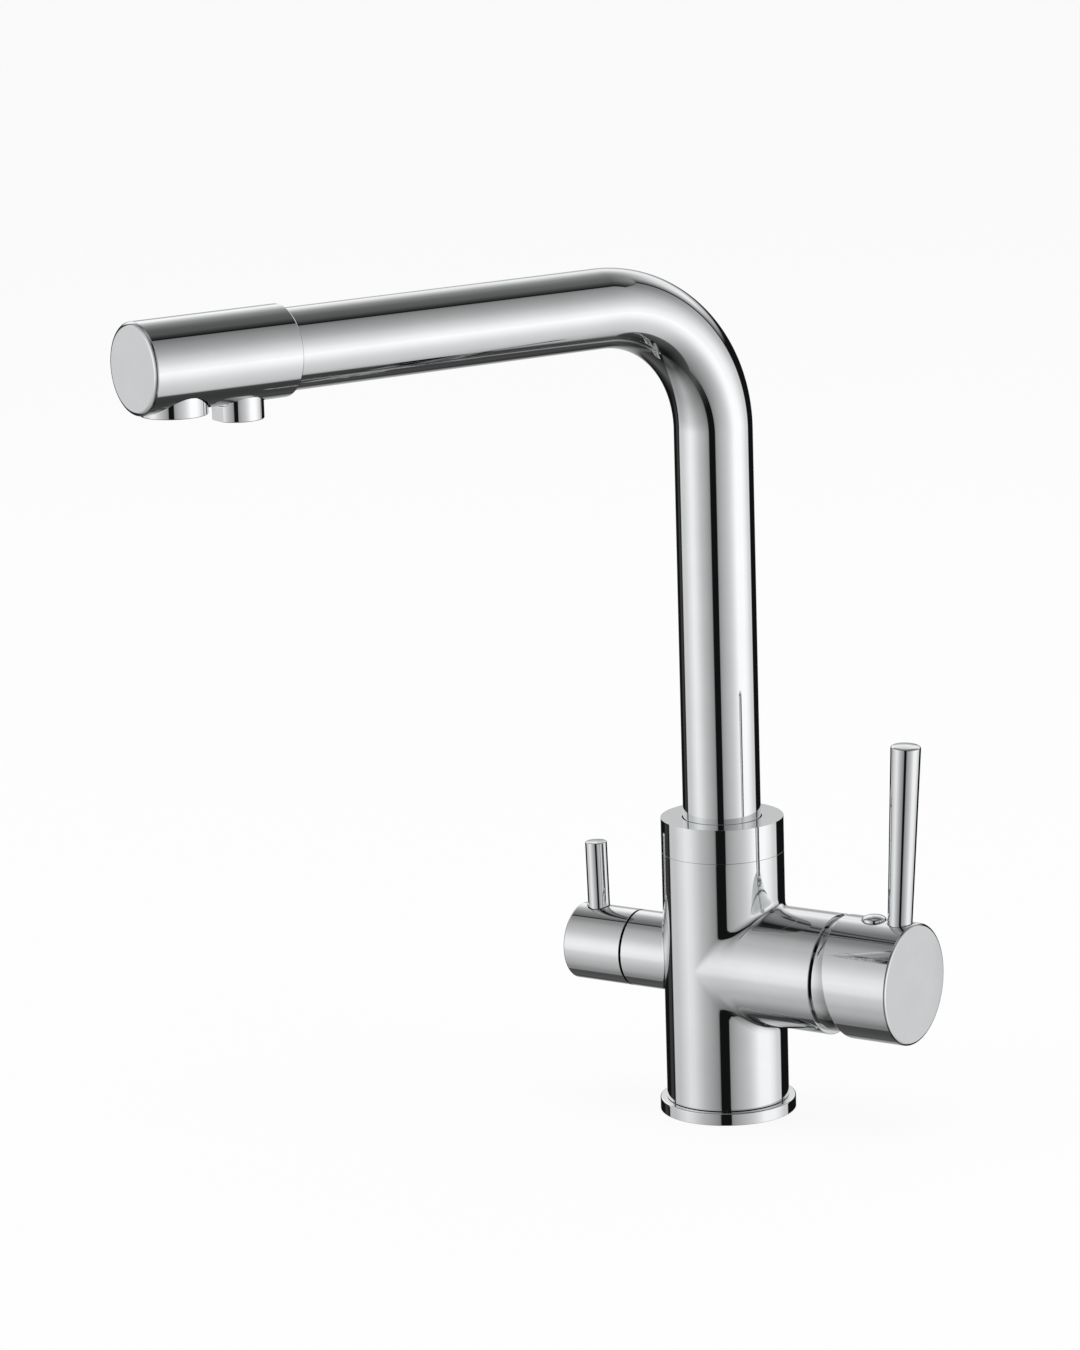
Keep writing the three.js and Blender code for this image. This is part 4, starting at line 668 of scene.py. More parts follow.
@dataclass
class BaseAndBody:
    """Flange, body casting and collar, in mm.

    Attributes:
        holes: radius, place and depth of the three inlets and the two stud holes.
        melt: how far the barrel and the mixer branch melt into each other.
        melt_reach: distance from the body's axis at which the melt is full.
        swell_reach: distance at which the branch has its own radius.
        melt_end: distance at which the branch is plain.
        around: points on each of the four sides of a branch's grid.
        rings: faces from the grid's border to the blend.
        branch_rows: rows of points along the blend, the round and the end's edge.
        crowding: how much the round's rows crowd towards the blend.
    """

    flange_radius: float = 24.6
    flange_height: float = 4.5
    flange_edge: float = 0.5
    flange_bore: float = 18.8
    seal_groove: Point = (20.55, 22.65, 2.0)
    small_edge: float = 0.2
    radius: float = 22.1
    foot: float = 4.7
    spigot_radius: float = 18.5
    spigot_bottom: float = 1.2
    top: float = 96.24
    edge: float = 0.08
    edge_steps: int = 5
    recess_radius: float = 16.0
    recess_roof: float = 8.0
    holes: tuple[tuple[float, ...], ...] = (
        (4.4, 8.6, 7.5, 12.0), (4.4, 8.6, -7.5, 12.0), (4.4, -8.6, 0.0, 12.0),
        (3.4, 0.0, 12.0, 16.0), (3.4, 0.0, -12.0, 16.0),
    )
    seat: Bore = (76, (16.3, 87), (19.2, 97.2))
    chamber: Bore = (16, (17.8, 39.9), (19.3, 48.6))
    valve_chamber: Bore = (14, (9.2, 24), (10, 37))
    mixer: Branch = field(
        default_factory=lambda: Branch(1, MIXER_HEIGHT, 21.72, 46.8, 2.6, 0.2))
    filter: Branch = field(
        default_factory=lambda: Branch(-1, FILTER_HEIGHT, FILTER_RADIUS, 35.95, 1.5, 0.12))
    melt: float = 3.2
    melt_reach: float = 14.0
    swell_reach: float = 24.0
    melt_end: float = 40.0
    collar_bore: float = 14.3
    collar_skirt: float = 94.2
    collar_skirt_radius: float = 18.9
    collar_low: float = 96.28
    collar_height: float = 12.42
    around: int = 48
    rings: int = 20
    branch_rows: tuple[int, int, int] = (17, 17, 7)
    crowding: float = 1.5

    def build(self) -> None:
        """Builds the three pieces."""
        self._flange()
        self._casting()
        self._collar()

    def _flange(self) -> None:
        """Flange with the groove of its seal."""
        low, high, depth = self.seal_groove
        bore, out, top = self.flange_bore, self.flange_radius, self.flange_height
        outline = [
            (bore, 0), (low, 0), (low, depth), (high, depth), (high, 0),
            *Corner.LOW_OUT.at(out, 0, self.small_edge, 4),
            *Corner.HIGH_OUT.at(out, top, self.flange_edge), (bore, top), (bore, 0),
        ]
        dress(turned("deck_flange", outline, ORIGIN, FINE), Body.BASE, "base_flange")

    def _ring(self, radius: float, height: float, out: float, up: float) -> Row:
        """Row of points round the barrel, spaced as the grids round the branches are.

        Args:
            radius: of the row.
            height: of the row.
            out: outward part of its normal.
            up: upward part of its normal.

        Returns:
            Points with normals.
        """
        rise, row = Vector((0, 0, 1)), []
        for j in range(2 * self.around):
            turn = -math.pi / 2 + j * math.pi / self.around
            away = Vector((math.cos(turn), math.sin(turn), 0))
            row.append((away * radius + rise * height, away * out + rise * up))
        return row

    def _outside(self, point: Vector) -> float:
        """How far a point is outside the barrel and the mixer branch, which melt into each other.

        The branch swells to the barrel's radius where it meets it, as on a casting that is ground
        and polished by hand, so the blend is tight above and below and has no line at the front.

        Args:
            point: in mm.

        Returns:
            Distance in mm, below 0 inside.
        """
        barrel = math.hypot(point.x, point.y) - self.radius
        if point.x <= 0:
            return barrel
        swell, melt = (ease(point.x / reach) for reach in (self.swell_reach, self.melt_reach))
        radius = self.radius + (self.mixer.radius - self.radius) * swell
        branch = math.hypot(point.y, point.z - self.mixer.height) - radius
        melt *= self.melt
        near = max(melt - abs(barrel - branch), 0) / max(melt, 1e-9)
        return min(barrel, branch) - near ** 3 * melt / 6

    def _settled(self, point: Vector) -> tuple[Vector, Vector]:
        """A point moved onto the melted outside in a few steps, with the normal there.

        Args:
            point: near the outside, in mm.

        Returns:
            The point and its normal.
        """
        step, tries = 1e-4, 5
        axes = [Vector(axis) for axis in ((1, 0, 0), (0, 1, 0), (0, 0, 1))]
        for _ in range(tries):
            here = self._outside(point)
            slope = Vector([
                (self._outside(point + a * step) - self._outside(point - a * step)) / (2 * step)
                for a in axes
            ])
            point = point - slope * (here / slope.length_squared)
        return point, slope.normalized()

    def _turns(self) -> list[float]:
        """Angles round a branch, from the top, that start at the upper left corner of its half."""
        count = 4 * self.around
        return [math.radians(-45 + 360 * j / count) for j in range(count)]

    def _half_barrel(self, net: Net, branch: Branch) -> None:
        """Half of the barrel with the opening for a branch.

        Args:
            net: that takes the half.
            branch: that the opening is for.
        """
        low, high, wide = self.foot + self.edge, self.top - self.edge, math.pi / 2
        corners = [(-wide, high), (wide, high), (wide, low), (-wide, low), (-wide, high)]
        rows: list[list] = [[] for _ in range(self.rings + 1)]
        for j, turn in enumerate(self._turns()):
            side, step = divmod(j, self.around)
            part = step / self.around
            (u0, z0), (u1, z1) = corners[side], corners[side + 1]
            middle, to_barrel, _ = branch.blend_at(turn, self.radius)
            contact = middle + to_barrel * branch.blend
            start = math.atan2(contact.y, branch.side * contact.x)
            for k, row in enumerate(rows):
                rest = 1 - k / self.rings
                angle = start + (u0 + (u1 - u0) * part - start) * rest
                height = contact.z + (z0 + (z1 - z0) * part - contact.z) * rest
                out = Vector((branch.side * math.cos(angle), math.sin(angle), 0))
                point = out * self.radius + Vector((0, 0, height))
                melts = branch.side > 0 and k > 0
                row.append(self._settled(point) if melts else (point, out))
        net.rows(rows)

    def _branch(self, net: Net, branch: Branch) -> None:
        """Blend, round and end of a branch.

        Args:
            net: that takes them.
            branch: to build.
        """
        blends, rounds, edges = ([[] for _ in range(count)] for count in self.branch_rows)
        straight, away = branch.end - branch.edge, Vector((branch.side, 0, 0))
        for turn in self._turns():
            middle, to_barrel, to_branch = branch.blend_at(turn, self.radius)
            spread = to_barrel.angle(to_branch)
            for k, row in enumerate(blends):
                part = spread * k / (len(blends) - 1)
                ball = to_barrel * math.sin(spread - part) + to_branch * math.sin(part)
                ball = ball / math.sin(spread)
                point = middle + ball * branch.blend
                row.append(self._settled(point) if branch.side > 0 else (point, -ball))
            contact, out = middle + to_branch * branch.blend, -to_branch
            for k, row in enumerate(rounds):
                share = (k / (len(rounds) - 1)) ** self.crowding
                x = abs(contact.x) + (straight - abs(contact.x)) * share
                point = Vector((branch.side * x, contact.y, contact.z))
                melts = branch.side > 0 and x < self.melt_end
                row.append(self._settled(point) if melts else (point, out))
            for k, row in enumerate(edges):
                angle = math.pi / 2 * k / (len(edges) - 1)
                radius = branch.radius - branch.edge * (1 - math.cos(angle))
                x = straight + branch.edge * math.sin(angle)
                point = Vector((branch.side * x, out.y * radius, branch.height + out.z * radius))
                row.append((point, out * math.cos(angle) + away * math.sin(angle)))
        for rows in (blends, rounds, edges):
            net.rows(rows)
        net.cap([(point, away) for point, _ in edges[-1]])

    def _casting(self) -> None:
        """Body: barrel, both branches and their blends, bored for what it holds."""
        net = Net()
        for add, branch in product((self._half_barrel, self._branch), (self.mixer, self.filter)):
            add(net, branch)
        angles = [math.pi / 2 * k / self.edge_steps for k in range(self.edge_steps + 1)]
        for start, up in ((self.top - self.edge, 1), (self.foot + self.edge, -1)):
            net.rows(self._ring(
                self.radius - self.edge * (1 - math.cos(a)), start + up * self.edge * math.sin(a),
                math.cos(a), up * math.sin(a),
            ) for a in angles)
        inner, spigot = self.radius - self.edge, self.spigot_radius
        net.cap(self._ring(inner, self.top, 0, 1))
        net.rows(self._ring(radius, self.foot, 0, -1) for radius in (inner, spigot))
        net.rows(self._ring(spigot, height, 1, 0) for height in (self.foot, self.spigot_bottom))
        net.cap(self._ring(spigot, self.spigot_bottom, 0, -1))
        piece = net.piece("body_casting")
        to_mixer, to_filter = along_x(self.mixer.height), along_x(self.filter.height, 180)
        cutters = [
            hole(ORIGIN, PLAIN, *self.seat), hole(to_mixer, PLAIN, *self.chamber),
            hole(to_filter, PLAIN, *self.valve_chamber),
            hole(ORIGIN, PLAIN, 0, (self.recess_radius, self.recess_roof)),
        ]
        for radius, x, y, depth in self.holes:
            cutters.append(hole(upright_at(x, y, self.recess_roof), SMALL, -PAST, (radius, depth)))
        cut(piece, cutters)
        surfaces = [
            Cylinder(ORIGIN, self.radius), Cylinder(to_mixer, self.mixer.radius),
            Cylinder(to_filter, self.filter.radius), Cylinder(ORIGIN, self.recess_radius),
        ]
        dress(piece, Body.BASE, "tap_body", surfaces=surfaces, net=net)
        # Painted shade: the filter branch's end face, in the gap to the filter handle, is painted
        # dark.
        coat(piece, PAINTED_GAP_SHADE, lambda middle: middle.x < SKIN - self.filter.end)

    def _collar(self) -> None:
        """Collar that holds the spout's foot down."""
        low, bore, skirt = self.collar_low, self.collar_bore, self.collar_skirt_radius
        top = low + self.collar_height
        outline = [
            (bore, self.collar_skirt), (skirt, self.collar_skirt), (skirt, low),
            *Corner.LOW_OUT.at(self.radius, low, self.edge, 6),
            *Corner.HIGH_OUT.at(self.radius, top, self.edge, 6),
            *Corner.HIGH_IN.at(bore, top, self.small_edge, 4), (bore, self.collar_skirt),
        ]
        dress(turned("spout_collar_ring", outline, ORIGIN, FINE), Body.BASE, "spout_collar")


# ---- spout
@dataclass
class SpoutTube:
    """Bent tube of the spout, in mm and degrees.

    Attributes:
        bend: radius of the bend's axis.
        bend_steps: rings along the bend.
        straight_steps: rings along each straight.
    """

    radius: float = 14.0
    wall: float = 1.0
    start: float = 92.1
    bend: float = 48.0
    bend_steps: int = 72
    straight_steps: int = 4
    end: float = 183.0

    def build(self) -> None:
        """Rise, quarter bend and run, extruded and spun from one circle."""
        bpy.ops.object.select_all(action="DESELECT")
        bpy.ops.mesh.primitive_circle_add(
            vertices=ROUND, radius=self.radius * MM, location=(0, 0, self.start * MM),
        )
        piece = opened_up("spout_tube_bent")
        bend_start = ARM_HEIGHT - self.bend
        self._straight(0, bend_start - self.start)
        bpy.ops.mesh.spin(
            steps=self.bend_steps, angle=math.pi / 2, center=(self.bend * MM, 0, bend_start * MM),
            axis=(0, -1, 0),
        )
        self._straight(self.end - self.bend, 0)
        close_up()
        finish_with(piece, "SOLIDIFY", thickness=self.wall * MM, offset=-1)
        set_down(piece, upright_at(0, 0, 0, ARM_TURN))
        dress(piece, Body.SPOUT, "spout_tube")

    def _straight(self, x: float, z: float) -> None:
        """Draws out the tube's end in equal steps.

        Args:
            x: whole way along X.
            z: whole way up.
        """
        step = (x / self.straight_steps * MM, 0, z / self.straight_steps * MM)
        for _ in range(self.straight_steps):
            bpy.ops.mesh.extrude_region_move(TRANSFORM_OT_translate={"value": step})


@dataclass
class Outlet:
    """An outlet under the head: ring, insert and the pocket that takes them, in mm.

    Attributes:
        name: of the water that it gives.
        nodes: CAD nodes of the ring and the insert.
        x: place along the arm.
        radius: of the ring.
        bottom: of the ring, from the arm's axis.
        ring_top: of the ring.
        neck_radius: of the neck in the head.
        neck_top: of the neck.
        pitch: radius of the ring of jets.
        jets: on that ring.
        flat: from the axis to a spanner flat, or 0.
        room: between the ring and the head.
        soft_edge: rounding of the mouth and the insert.
        headroom: of the pocket over the neck.
    """

    name: str
    nodes: tuple[str, str]
    x: float
    radius: float
    bottom: float
    ring_top: float
    neck_radius: float
    neck_top: float
    pitch: float
    jets: int
    flat: float = 0.0
    flat_height: float = 5.0
    wall: float = 1.0
    lip: float = 0.9
    edge: float = 0.35
    soft_edge: float = 0.3
    room: float = 0.3
    headroom: float = 1.8
    jet_radius: float = 1.3
    floor: float = 2.5
    insert_wall: float = 1.2

    def _place(self) -> Matrix:
        """Place of the outlet under the arm."""
        return upright_at(0, 0, ARM_HEIGHT, ARM_TURN) @ Matrix.Translation((self.x * MM, 0, 0))

    def pocket(self) -> Piece:
        """The tool that cuts the pocket."""
        return hole(
            self._place(), ROUND, self.bottom - PAST,
            (self.radius + self.room, self.ring_top + GAP),
            (self.neck_radius + GAP, self.neck_top + self.headroom),
        )

    def build(self) -> None:
        """Builds the ring and the insert."""
        self._ring()
        self._insert()

    def _ring(self) -> None:
        """Ring that shows, with its lip, mouth and threaded neck."""
        bore, neck, low = self.neck_radius - self.wall, self.neck_radius, self.bottom
        mouth, ledge, top = bore - self.lip, low + self.lip, self.neck_top
        outline = [
            *Corner.LOW_IN.at(mouth, low, self.soft_edge, 5),
            *Corner.LOW_OUT.at(self.radius, low, self.edge),
            (self.radius, self.ring_top), (neck, self.ring_top), (neck, top), (bore, top),
            (bore, ledge), (mouth, ledge), (mouth, low + self.soft_edge),
        ]
        piece = turned(f"{self.name}_aerator_ring", outline, self._place())
        if self.flat:
            cut(piece, [self._flat_tool(side) for side in (1, -1)])
        dress(piece, Body.SPOUT, self.nodes[0], surfaces=[Cylinder(self._place(), self.radius)])

    def _flat_tool(self, side: int) -> Piece:
        """Box that cuts a spanner flat.

        Args:
            side: 1 or -1 along the arm.

        Returns:
            The tool.
        """
        far = self.radius + 2 * PAST
        bpy.ops.object.select_all(action="DESELECT")
        bpy.ops.mesh.primitive_cube_add(size=1)
        tool, wide = bpy.context.object, far - self.flat
        size = Matrix.Diagonal((wide * MM, 2 * far * MM, 2 * self.flat_height * MM, 1))
        middle = Vector((side * (self.flat + wide / 2), 0, self.bottom)) * MM
        set_down(tool, self._place() @ Matrix.Translation(middle) @ size)
        return tool

    def _insert(self) -> None:
        """Plastic insert with its jets."""
        radius, top = self.neck_radius - self.wall - GAP, self.neck_top - GAP
        low, well = self.bottom + self.lip + GAP, radius - self.insert_wall
        floor = low + self.floor
        outline = [
            (0, low), *Corner.LOW_OUT.at(radius, low, self.soft_edge, 4), (radius, top),
            (well, top), (well, floor), (0, floor),
        ]
        place = self._place()
        piece = turned(f"{self.name}_aerator_jets", outline, place, PLAIN)
        spots = [(0.0, 0.0)]
        for i in range(self.jets):
            turn = 2 * math.pi * i / self.jets
            spots.append((self.pitch * math.cos(turn), self.pitch * math.sin(turn)))
        cut(piece, [
            hole(place @ upright_at(x, y, 0), TINY, low - PAST, (self.jet_radius, floor + PAST))
            for x, y in spots
        ])
        dress(piece, Body.SPOUT, self.nodes[1], finish=MOULDED_ACETAL)


@dataclass
class OutletHead:
    """Head at the end of the arm with its two outlets, in mm and degrees."""

    radius: float = 15.75
    start: float = 175.9
    end: float = 232.8
    edge: float = 1.6
    back_edge: float = 0.9
    socket_radius: float = 14.3
    socket_depth: float = 7.4
    inside_radius: float = 13.25
    end_wall: float = 3.3
    mains: Outlet = field(default_factory=lambda: Outlet(
        "mixed", ("mains_aerator_housing", "mains_aerator_insert"),
        217.7, 11.45, -16.8, -9.3, 9.6, -7.0, 4.8, 8, room=0.75,
    ))
    filtered: Outlet = field(default_factory=lambda: Outlet(
        "filtered", ("filter_aerator_housing", "filter_aerator_insert"),
        193.3, 8.75, -21.1, -13.0, 7.3, -8.0, 3.5, 6, flat=7.9,
    ))

    def build(self) -> None:
        """Builds the shell, then the outlets."""
        lying, socket_end = along_x(ARM_HEIGHT, ARM_TURN), self.start + self.socket_depth
        outline = [
            (0, self.start), *Corner.LOW_OUT.at(self.radius, self.start, self.back_edge, 10),
            *Corner.HIGH_OUT.at(self.radius, self.end, self.edge, 12), (0, self.end),
        ]
        shell = turned("outlet_head_shell", outline, lying, FINE)
        cut(shell, [
            hole(lying, ROUND, self.start - PAST, (self.socket_radius, socket_end)),
            hole(lying, PLAIN, socket_end - PAST, (self.inside_radius, self.end - self.end_wall)),
            self.mains.pocket(), self.filtered.pocket(),
        ])
        dress(shell, Body.SPOUT, "spout_head", surfaces=[Cylinder(lying, self.radius)])
        self.mains.build()
        self.filtered.build()


# ---- handles
@dataclass
class Lever:
    """A lever with the stub that holds it in a handle, in mm and degrees.

    Attributes:
        name: of the piece.
        node: CAD node that it stands for.
        body: that it moves with.
        up: upright place of the handle.
        surface: radius of the handle.
        x: place along the handle's axis.
        lean: outward.
        foot: radius at the handle.
        tip: radius at the free end.
        length: from the handle's surface.
        seat: depth of the foot in the handle.
        stub: radius and length of the stub.
        edge: rounding of the free end.
        edge_steps: faces along that rounding.
        sides: faces round the lever.
        crown: rise of the domed end.
        crown_steps: faces from its rim to its middle.
        room: between the foot and the handle.
        above: how far the tool for the seat stands above the handle.
    """

    name: str
    node: str
    body: Body
    up: Matrix
    surface: float
    x: float
    lean: float
    foot: float
    tip: float
    length: float
    seat: float
    stub: tuple[float, float]
    edge: float
    edge_steps: int
    sides: int
    crown: float = 0.0
    crown_steps: int = 1
    room: float = GAP
    above: float = 3.0

    def _place(self) -> Matrix:
        """Upright on the surface of the handle, then leaning outward."""
        foot = Matrix.Translation(Vector((self.x, 0, self.surface)) * MM)
        return self.up @ foot @ Matrix.Rotation(math.radians(self.lean), 4, "Y")

    def hole(self) -> Piece:
        """The tool that cuts the lever's seat."""
        stub, depth = self.stub
        return hole(
            self._place(), PLAIN, -self.seat - depth - GAP, (stub + GAP, -self.seat),
            (self.foot + self.room, self.above),
        )

    def build(self) -> None:
        """Builds the lever."""
        stub, depth = self.stub
        low, flat = -self.seat + GAP, self.tip - self.edge
        shares = [1 - i / self.crown_steps for i in range(1, self.crown_steps + 1)]
        outline = [
            (0, low - depth), (stub, low - depth), (stub, low), (self.foot, low),
            *Corner.HIGH_OUT.at(self.tip, self.length, self.edge, self.edge_steps),
            *((flat * s, self.length + self.crown * (1 - s ** 2)) for s in shares),
        ]
        dress(turned(self.name, outline, self._place(), self.sides), self.body, self.node)


@dataclass
class MixerHandle:
    """Cover, handle, plug and lever of the hot and cold mixer, in mm and degrees."""

    cover_middle: float = 47.4
    cover_radius: float = 20.35
    cover_start: float = 46.97
    cover_end: float = 56.0
    cover_steps: int = 24
    cover_bore: float = 15.5
    cover_skirt: float = 45.3
    cover_thread: float = 19.0
    radius: float = MIXER_RADIUS
    end: float = 78.0
    rim: float = 53.1
    slant: float = 8.9
    wall: float = 1.4
    cavity_end: float = 66.0
    edge: float = 1.0
    rim_edge: float = 1.0
    rim_steps: int = 8
    rim_fullness: float = 0.85
    hub_radius: float = 8.0
    hub_start: float = 59.5
    plug_x: float = 61.9
    plug_radius: float = 4.3
    plug_proud: float = 1.8
    plug_seat: float = 0.8
    plug_rim: float = 0.7
    plug_steps: int = 16
    shank_radius: float = 2.9
    shank_length: float = 5.0
    lever: Lever = field(default_factory=lambda: Lever(
        "tapered_mixer_lever", "mixer_lever", Body.MIXER_GRIP, upright_at(0, 0, MIXER_HEIGHT),
        MIXER_RADIUS, x=72.4, lean=3.0, foot=4.4, tip=5.4, length=64.8, seat=1.4, stub=(2.85, 6.0),
        edge=1.0, edge_steps=10, sides=128, crown=0.4, crown_steps=8,
    ))

    def build(self) -> None:
        """Builds the four pieces."""
        self._cover()
        self._handle()
        self._plug()
        self.lever.build()

    def _cover(self) -> None:
        """Domed cover, which the handle can rock over."""
        bore, skirt, thread = self.cover_bore, self.cover_skirt, self.cover_thread
        start, end, steps = self.cover_start, self.cover_end, self.cover_steps
        places = [start + (end - start) * i / steps for i in range(steps + 1)]
        radii = [math.sqrt(self.cover_radius ** 2 - (p - self.cover_middle) ** 2) for p in places]
        outline = [
            (bore, skirt), (thread, skirt), (thread, start), *zip(radii, places), (bore, end),
            (bore, skirt),
        ]
        piece = turned("domed_cartridge_cover", outline, along_x(MIXER_HEIGHT), FINE)
        dress(piece, Body.BASE, "cartridge_cover")

    def _handle(self) -> None:
        """Round handle with a slanted rim, hollow over the cover."""
        inside, slant, hub = self.radius - self.wall, math.radians(self.slant), self.hub_radius
        back = self.rim - self.radius * math.tan(slant) - PAST
        outline = [
            (0, self.hub_start), (hub, self.hub_start), (hub, self.cavity_end),
            (inside, self.cavity_end), (inside, back), (self.radius, back),
            *Corner.HIGH_OUT.at(self.radius, self.end, self.edge), (0, self.end),
        ]
        piece = turned("mixer_handle_shell", outline, along_x(0), FINE)
        only(piece)
        bpy.ops.object.mode_set(mode="EDIT")
        bpy.ops.mesh.select_all(action="SELECT")
        bpy.ops.mesh.bisect(
            plane_co=(self.rim * MM, 0, 0), plane_no=(math.cos(slant), 0, math.sin(slant)),
            clear_inner=True,
        )
        bpy.ops.mesh.select_all(action="DESELECT")
        bpy.ops.mesh.select_non_manifold()
        bpy.ops.mesh.bridge_edge_loops()
        bpy.ops.mesh.region_to_loop()
        middle = (self.radius + inside) / 2
        keep_selected(piece, lambda point: math.hypot(point.y, point.z) > middle * MM)
        bpy.ops.mesh.bevel(
            offset=self.rim_edge * MM, segments=self.rim_steps, profile=self.rim_fullness,
            affect="EDGES",
        )
        close_up()
        set_down(piece, upright_at(0, 0, MIXER_HEIGHT))
        seat, shank = self.radius - self.plug_seat, self.shank_radius
        plug_hole = hole(
            upright_at(self.plug_x, 0, MIXER_HEIGHT), PLAIN, seat - self.shank_length - GAP,
            (shank + GAP, seat), (self.plug_radius + GAP, self.radius + PAST),
        )
        cut(piece, [plug_hole, self.lever.hole()])
        surfaces = [Cylinder(along_x(MIXER_HEIGHT), radius) for radius in (self.radius, inside)]
        dress(piece, Body.MIXER_GRIP, "mixer_handle", surfaces=surfaces)

    def _plug(self) -> None:
        """Domed plug over the grub screw's hole."""
        radius, shank = self.plug_radius, self.shank_radius
        seat = self.radius - self.plug_seat + GAP
        rise = self.radius + self.plug_proud - seat - self.plug_rim
        low = self.radius - self.plug_seat - self.shank_length
        turns = [math.pi / 2 * i / self.plug_steps for i in range(self.plug_steps + 1)]
        outline = [
            (0, low), (shank, low), (shank, seat), (radius, seat),
            *((radius * math.cos(t), seat + self.plug_rim + rise * math.sin(t)) for t in turns),
        ]
        place = upright_at(self.plug_x, 0, MIXER_HEIGHT)
        dress(turned("domed_index_plug", outline, place, PLAIN), Body.MIXER_GRIP, "index_plug")


@dataclass
class FilterHandle:
    """Handle and lever of the filtered water valve, in mm and degrees."""

    radius: float = FILTER_RADIUS
    sides: int = 160
    start: float = 36.85
    end: float = 60.7
    wall: float = 1.9
    cavity_end: float = 48.6
    spindle_bore: float = 4.3
    spindle_end: float = 55.7
    edge: float = 0.9
    back_edge: float = 0.12
    grub_x: float = 52.3
    grub_radius: float = 2.2
    lever: Lever = field(default_factory=lambda: Lever(
        "filter_lever_pin", "filter_lever", Body.FILTER_GRIP, upright_at(0, 0, FILTER_HEIGHT, 180),
        FILTER_RADIUS, x=53.3, lean=1.5, foot=4.0, tip=4.0, length=24.0, seat=1.2, stub=(2.4, 4.5),
        edge=0.5, edge_steps=8, sides=PLAIN, room=0.55,
    ))

    def build(self) -> None:
        """Builds the handle and its lever."""
        lying = along_x(FILTER_HEIGHT, 180)
        inside, bore, cavity = self.radius - self.wall, self.spindle_bore, self.cavity_end
        outline = [
            (inside, self.start), *Corner.LOW_OUT.at(self.radius, self.start, self.back_edge, 5),
            *Corner.HIGH_OUT.at(self.radius, self.end, self.edge, 12), (0, self.end),
            (0, self.spindle_end), (bore, self.spindle_end), (bore, cavity), (inside, cavity),
            (inside, self.start),
        ]
        piece = turned("filter_handle_shell", outline, lying, self.sides)
        under = self.lever.up @ upright_at(self.grub_x, 0, 0)
        grub_hole = hole(under, SMALL, -self.radius - PAST, (self.grub_radius, 0))
        cut(piece, [self.lever.hole(), grub_hole])
        dress(piece, Body.FILTER_GRIP, "filter_handle", surfaces=[Cylinder(lying, self.radius)])
        # Painted shade: the handle's back face, in the gap to the body's filter branch, is painted
        # dark.
        coat(piece, PAINTED_GAP_SHADE, lambda middle: middle.x > -self.start - SKIN)
        self.lever.build()


# ---- pieces whose CAD shape stays
@dataclass(frozen=True)
class InnerPieces:
    """Pieces inside the tap, which keep their CAD shape and get a finish by their slot.

    Attributes:
        nodes: CAD nodes by name.
    """

    nodes: dict[str, Piece]

    def dress(self) -> None:
        """Gives each node the material of its slot."""
        by_slot = {finish.slot: finish for finish in SLOT_FINISHES}
        for name, node in self.nodes.items():
            for place in node.material_slots:
                slot = place.material.name.split(".")[0] if place.material else ""
                place.material = by_slot.get(slot, POLISHED_CHROME).material()
                log.info("%s: %s", name, place.material.name)


# ---- studio
@dataclass(frozen=True)
class Panel:
    """A lit card of the studio, as the chrome sees it from the tap.

    Attributes:
        sides: degrees to the right of the camera, and light there.
        rises: degrees above the tap, and share of the light there.
    """

    sides: Outline
    rises: Outline


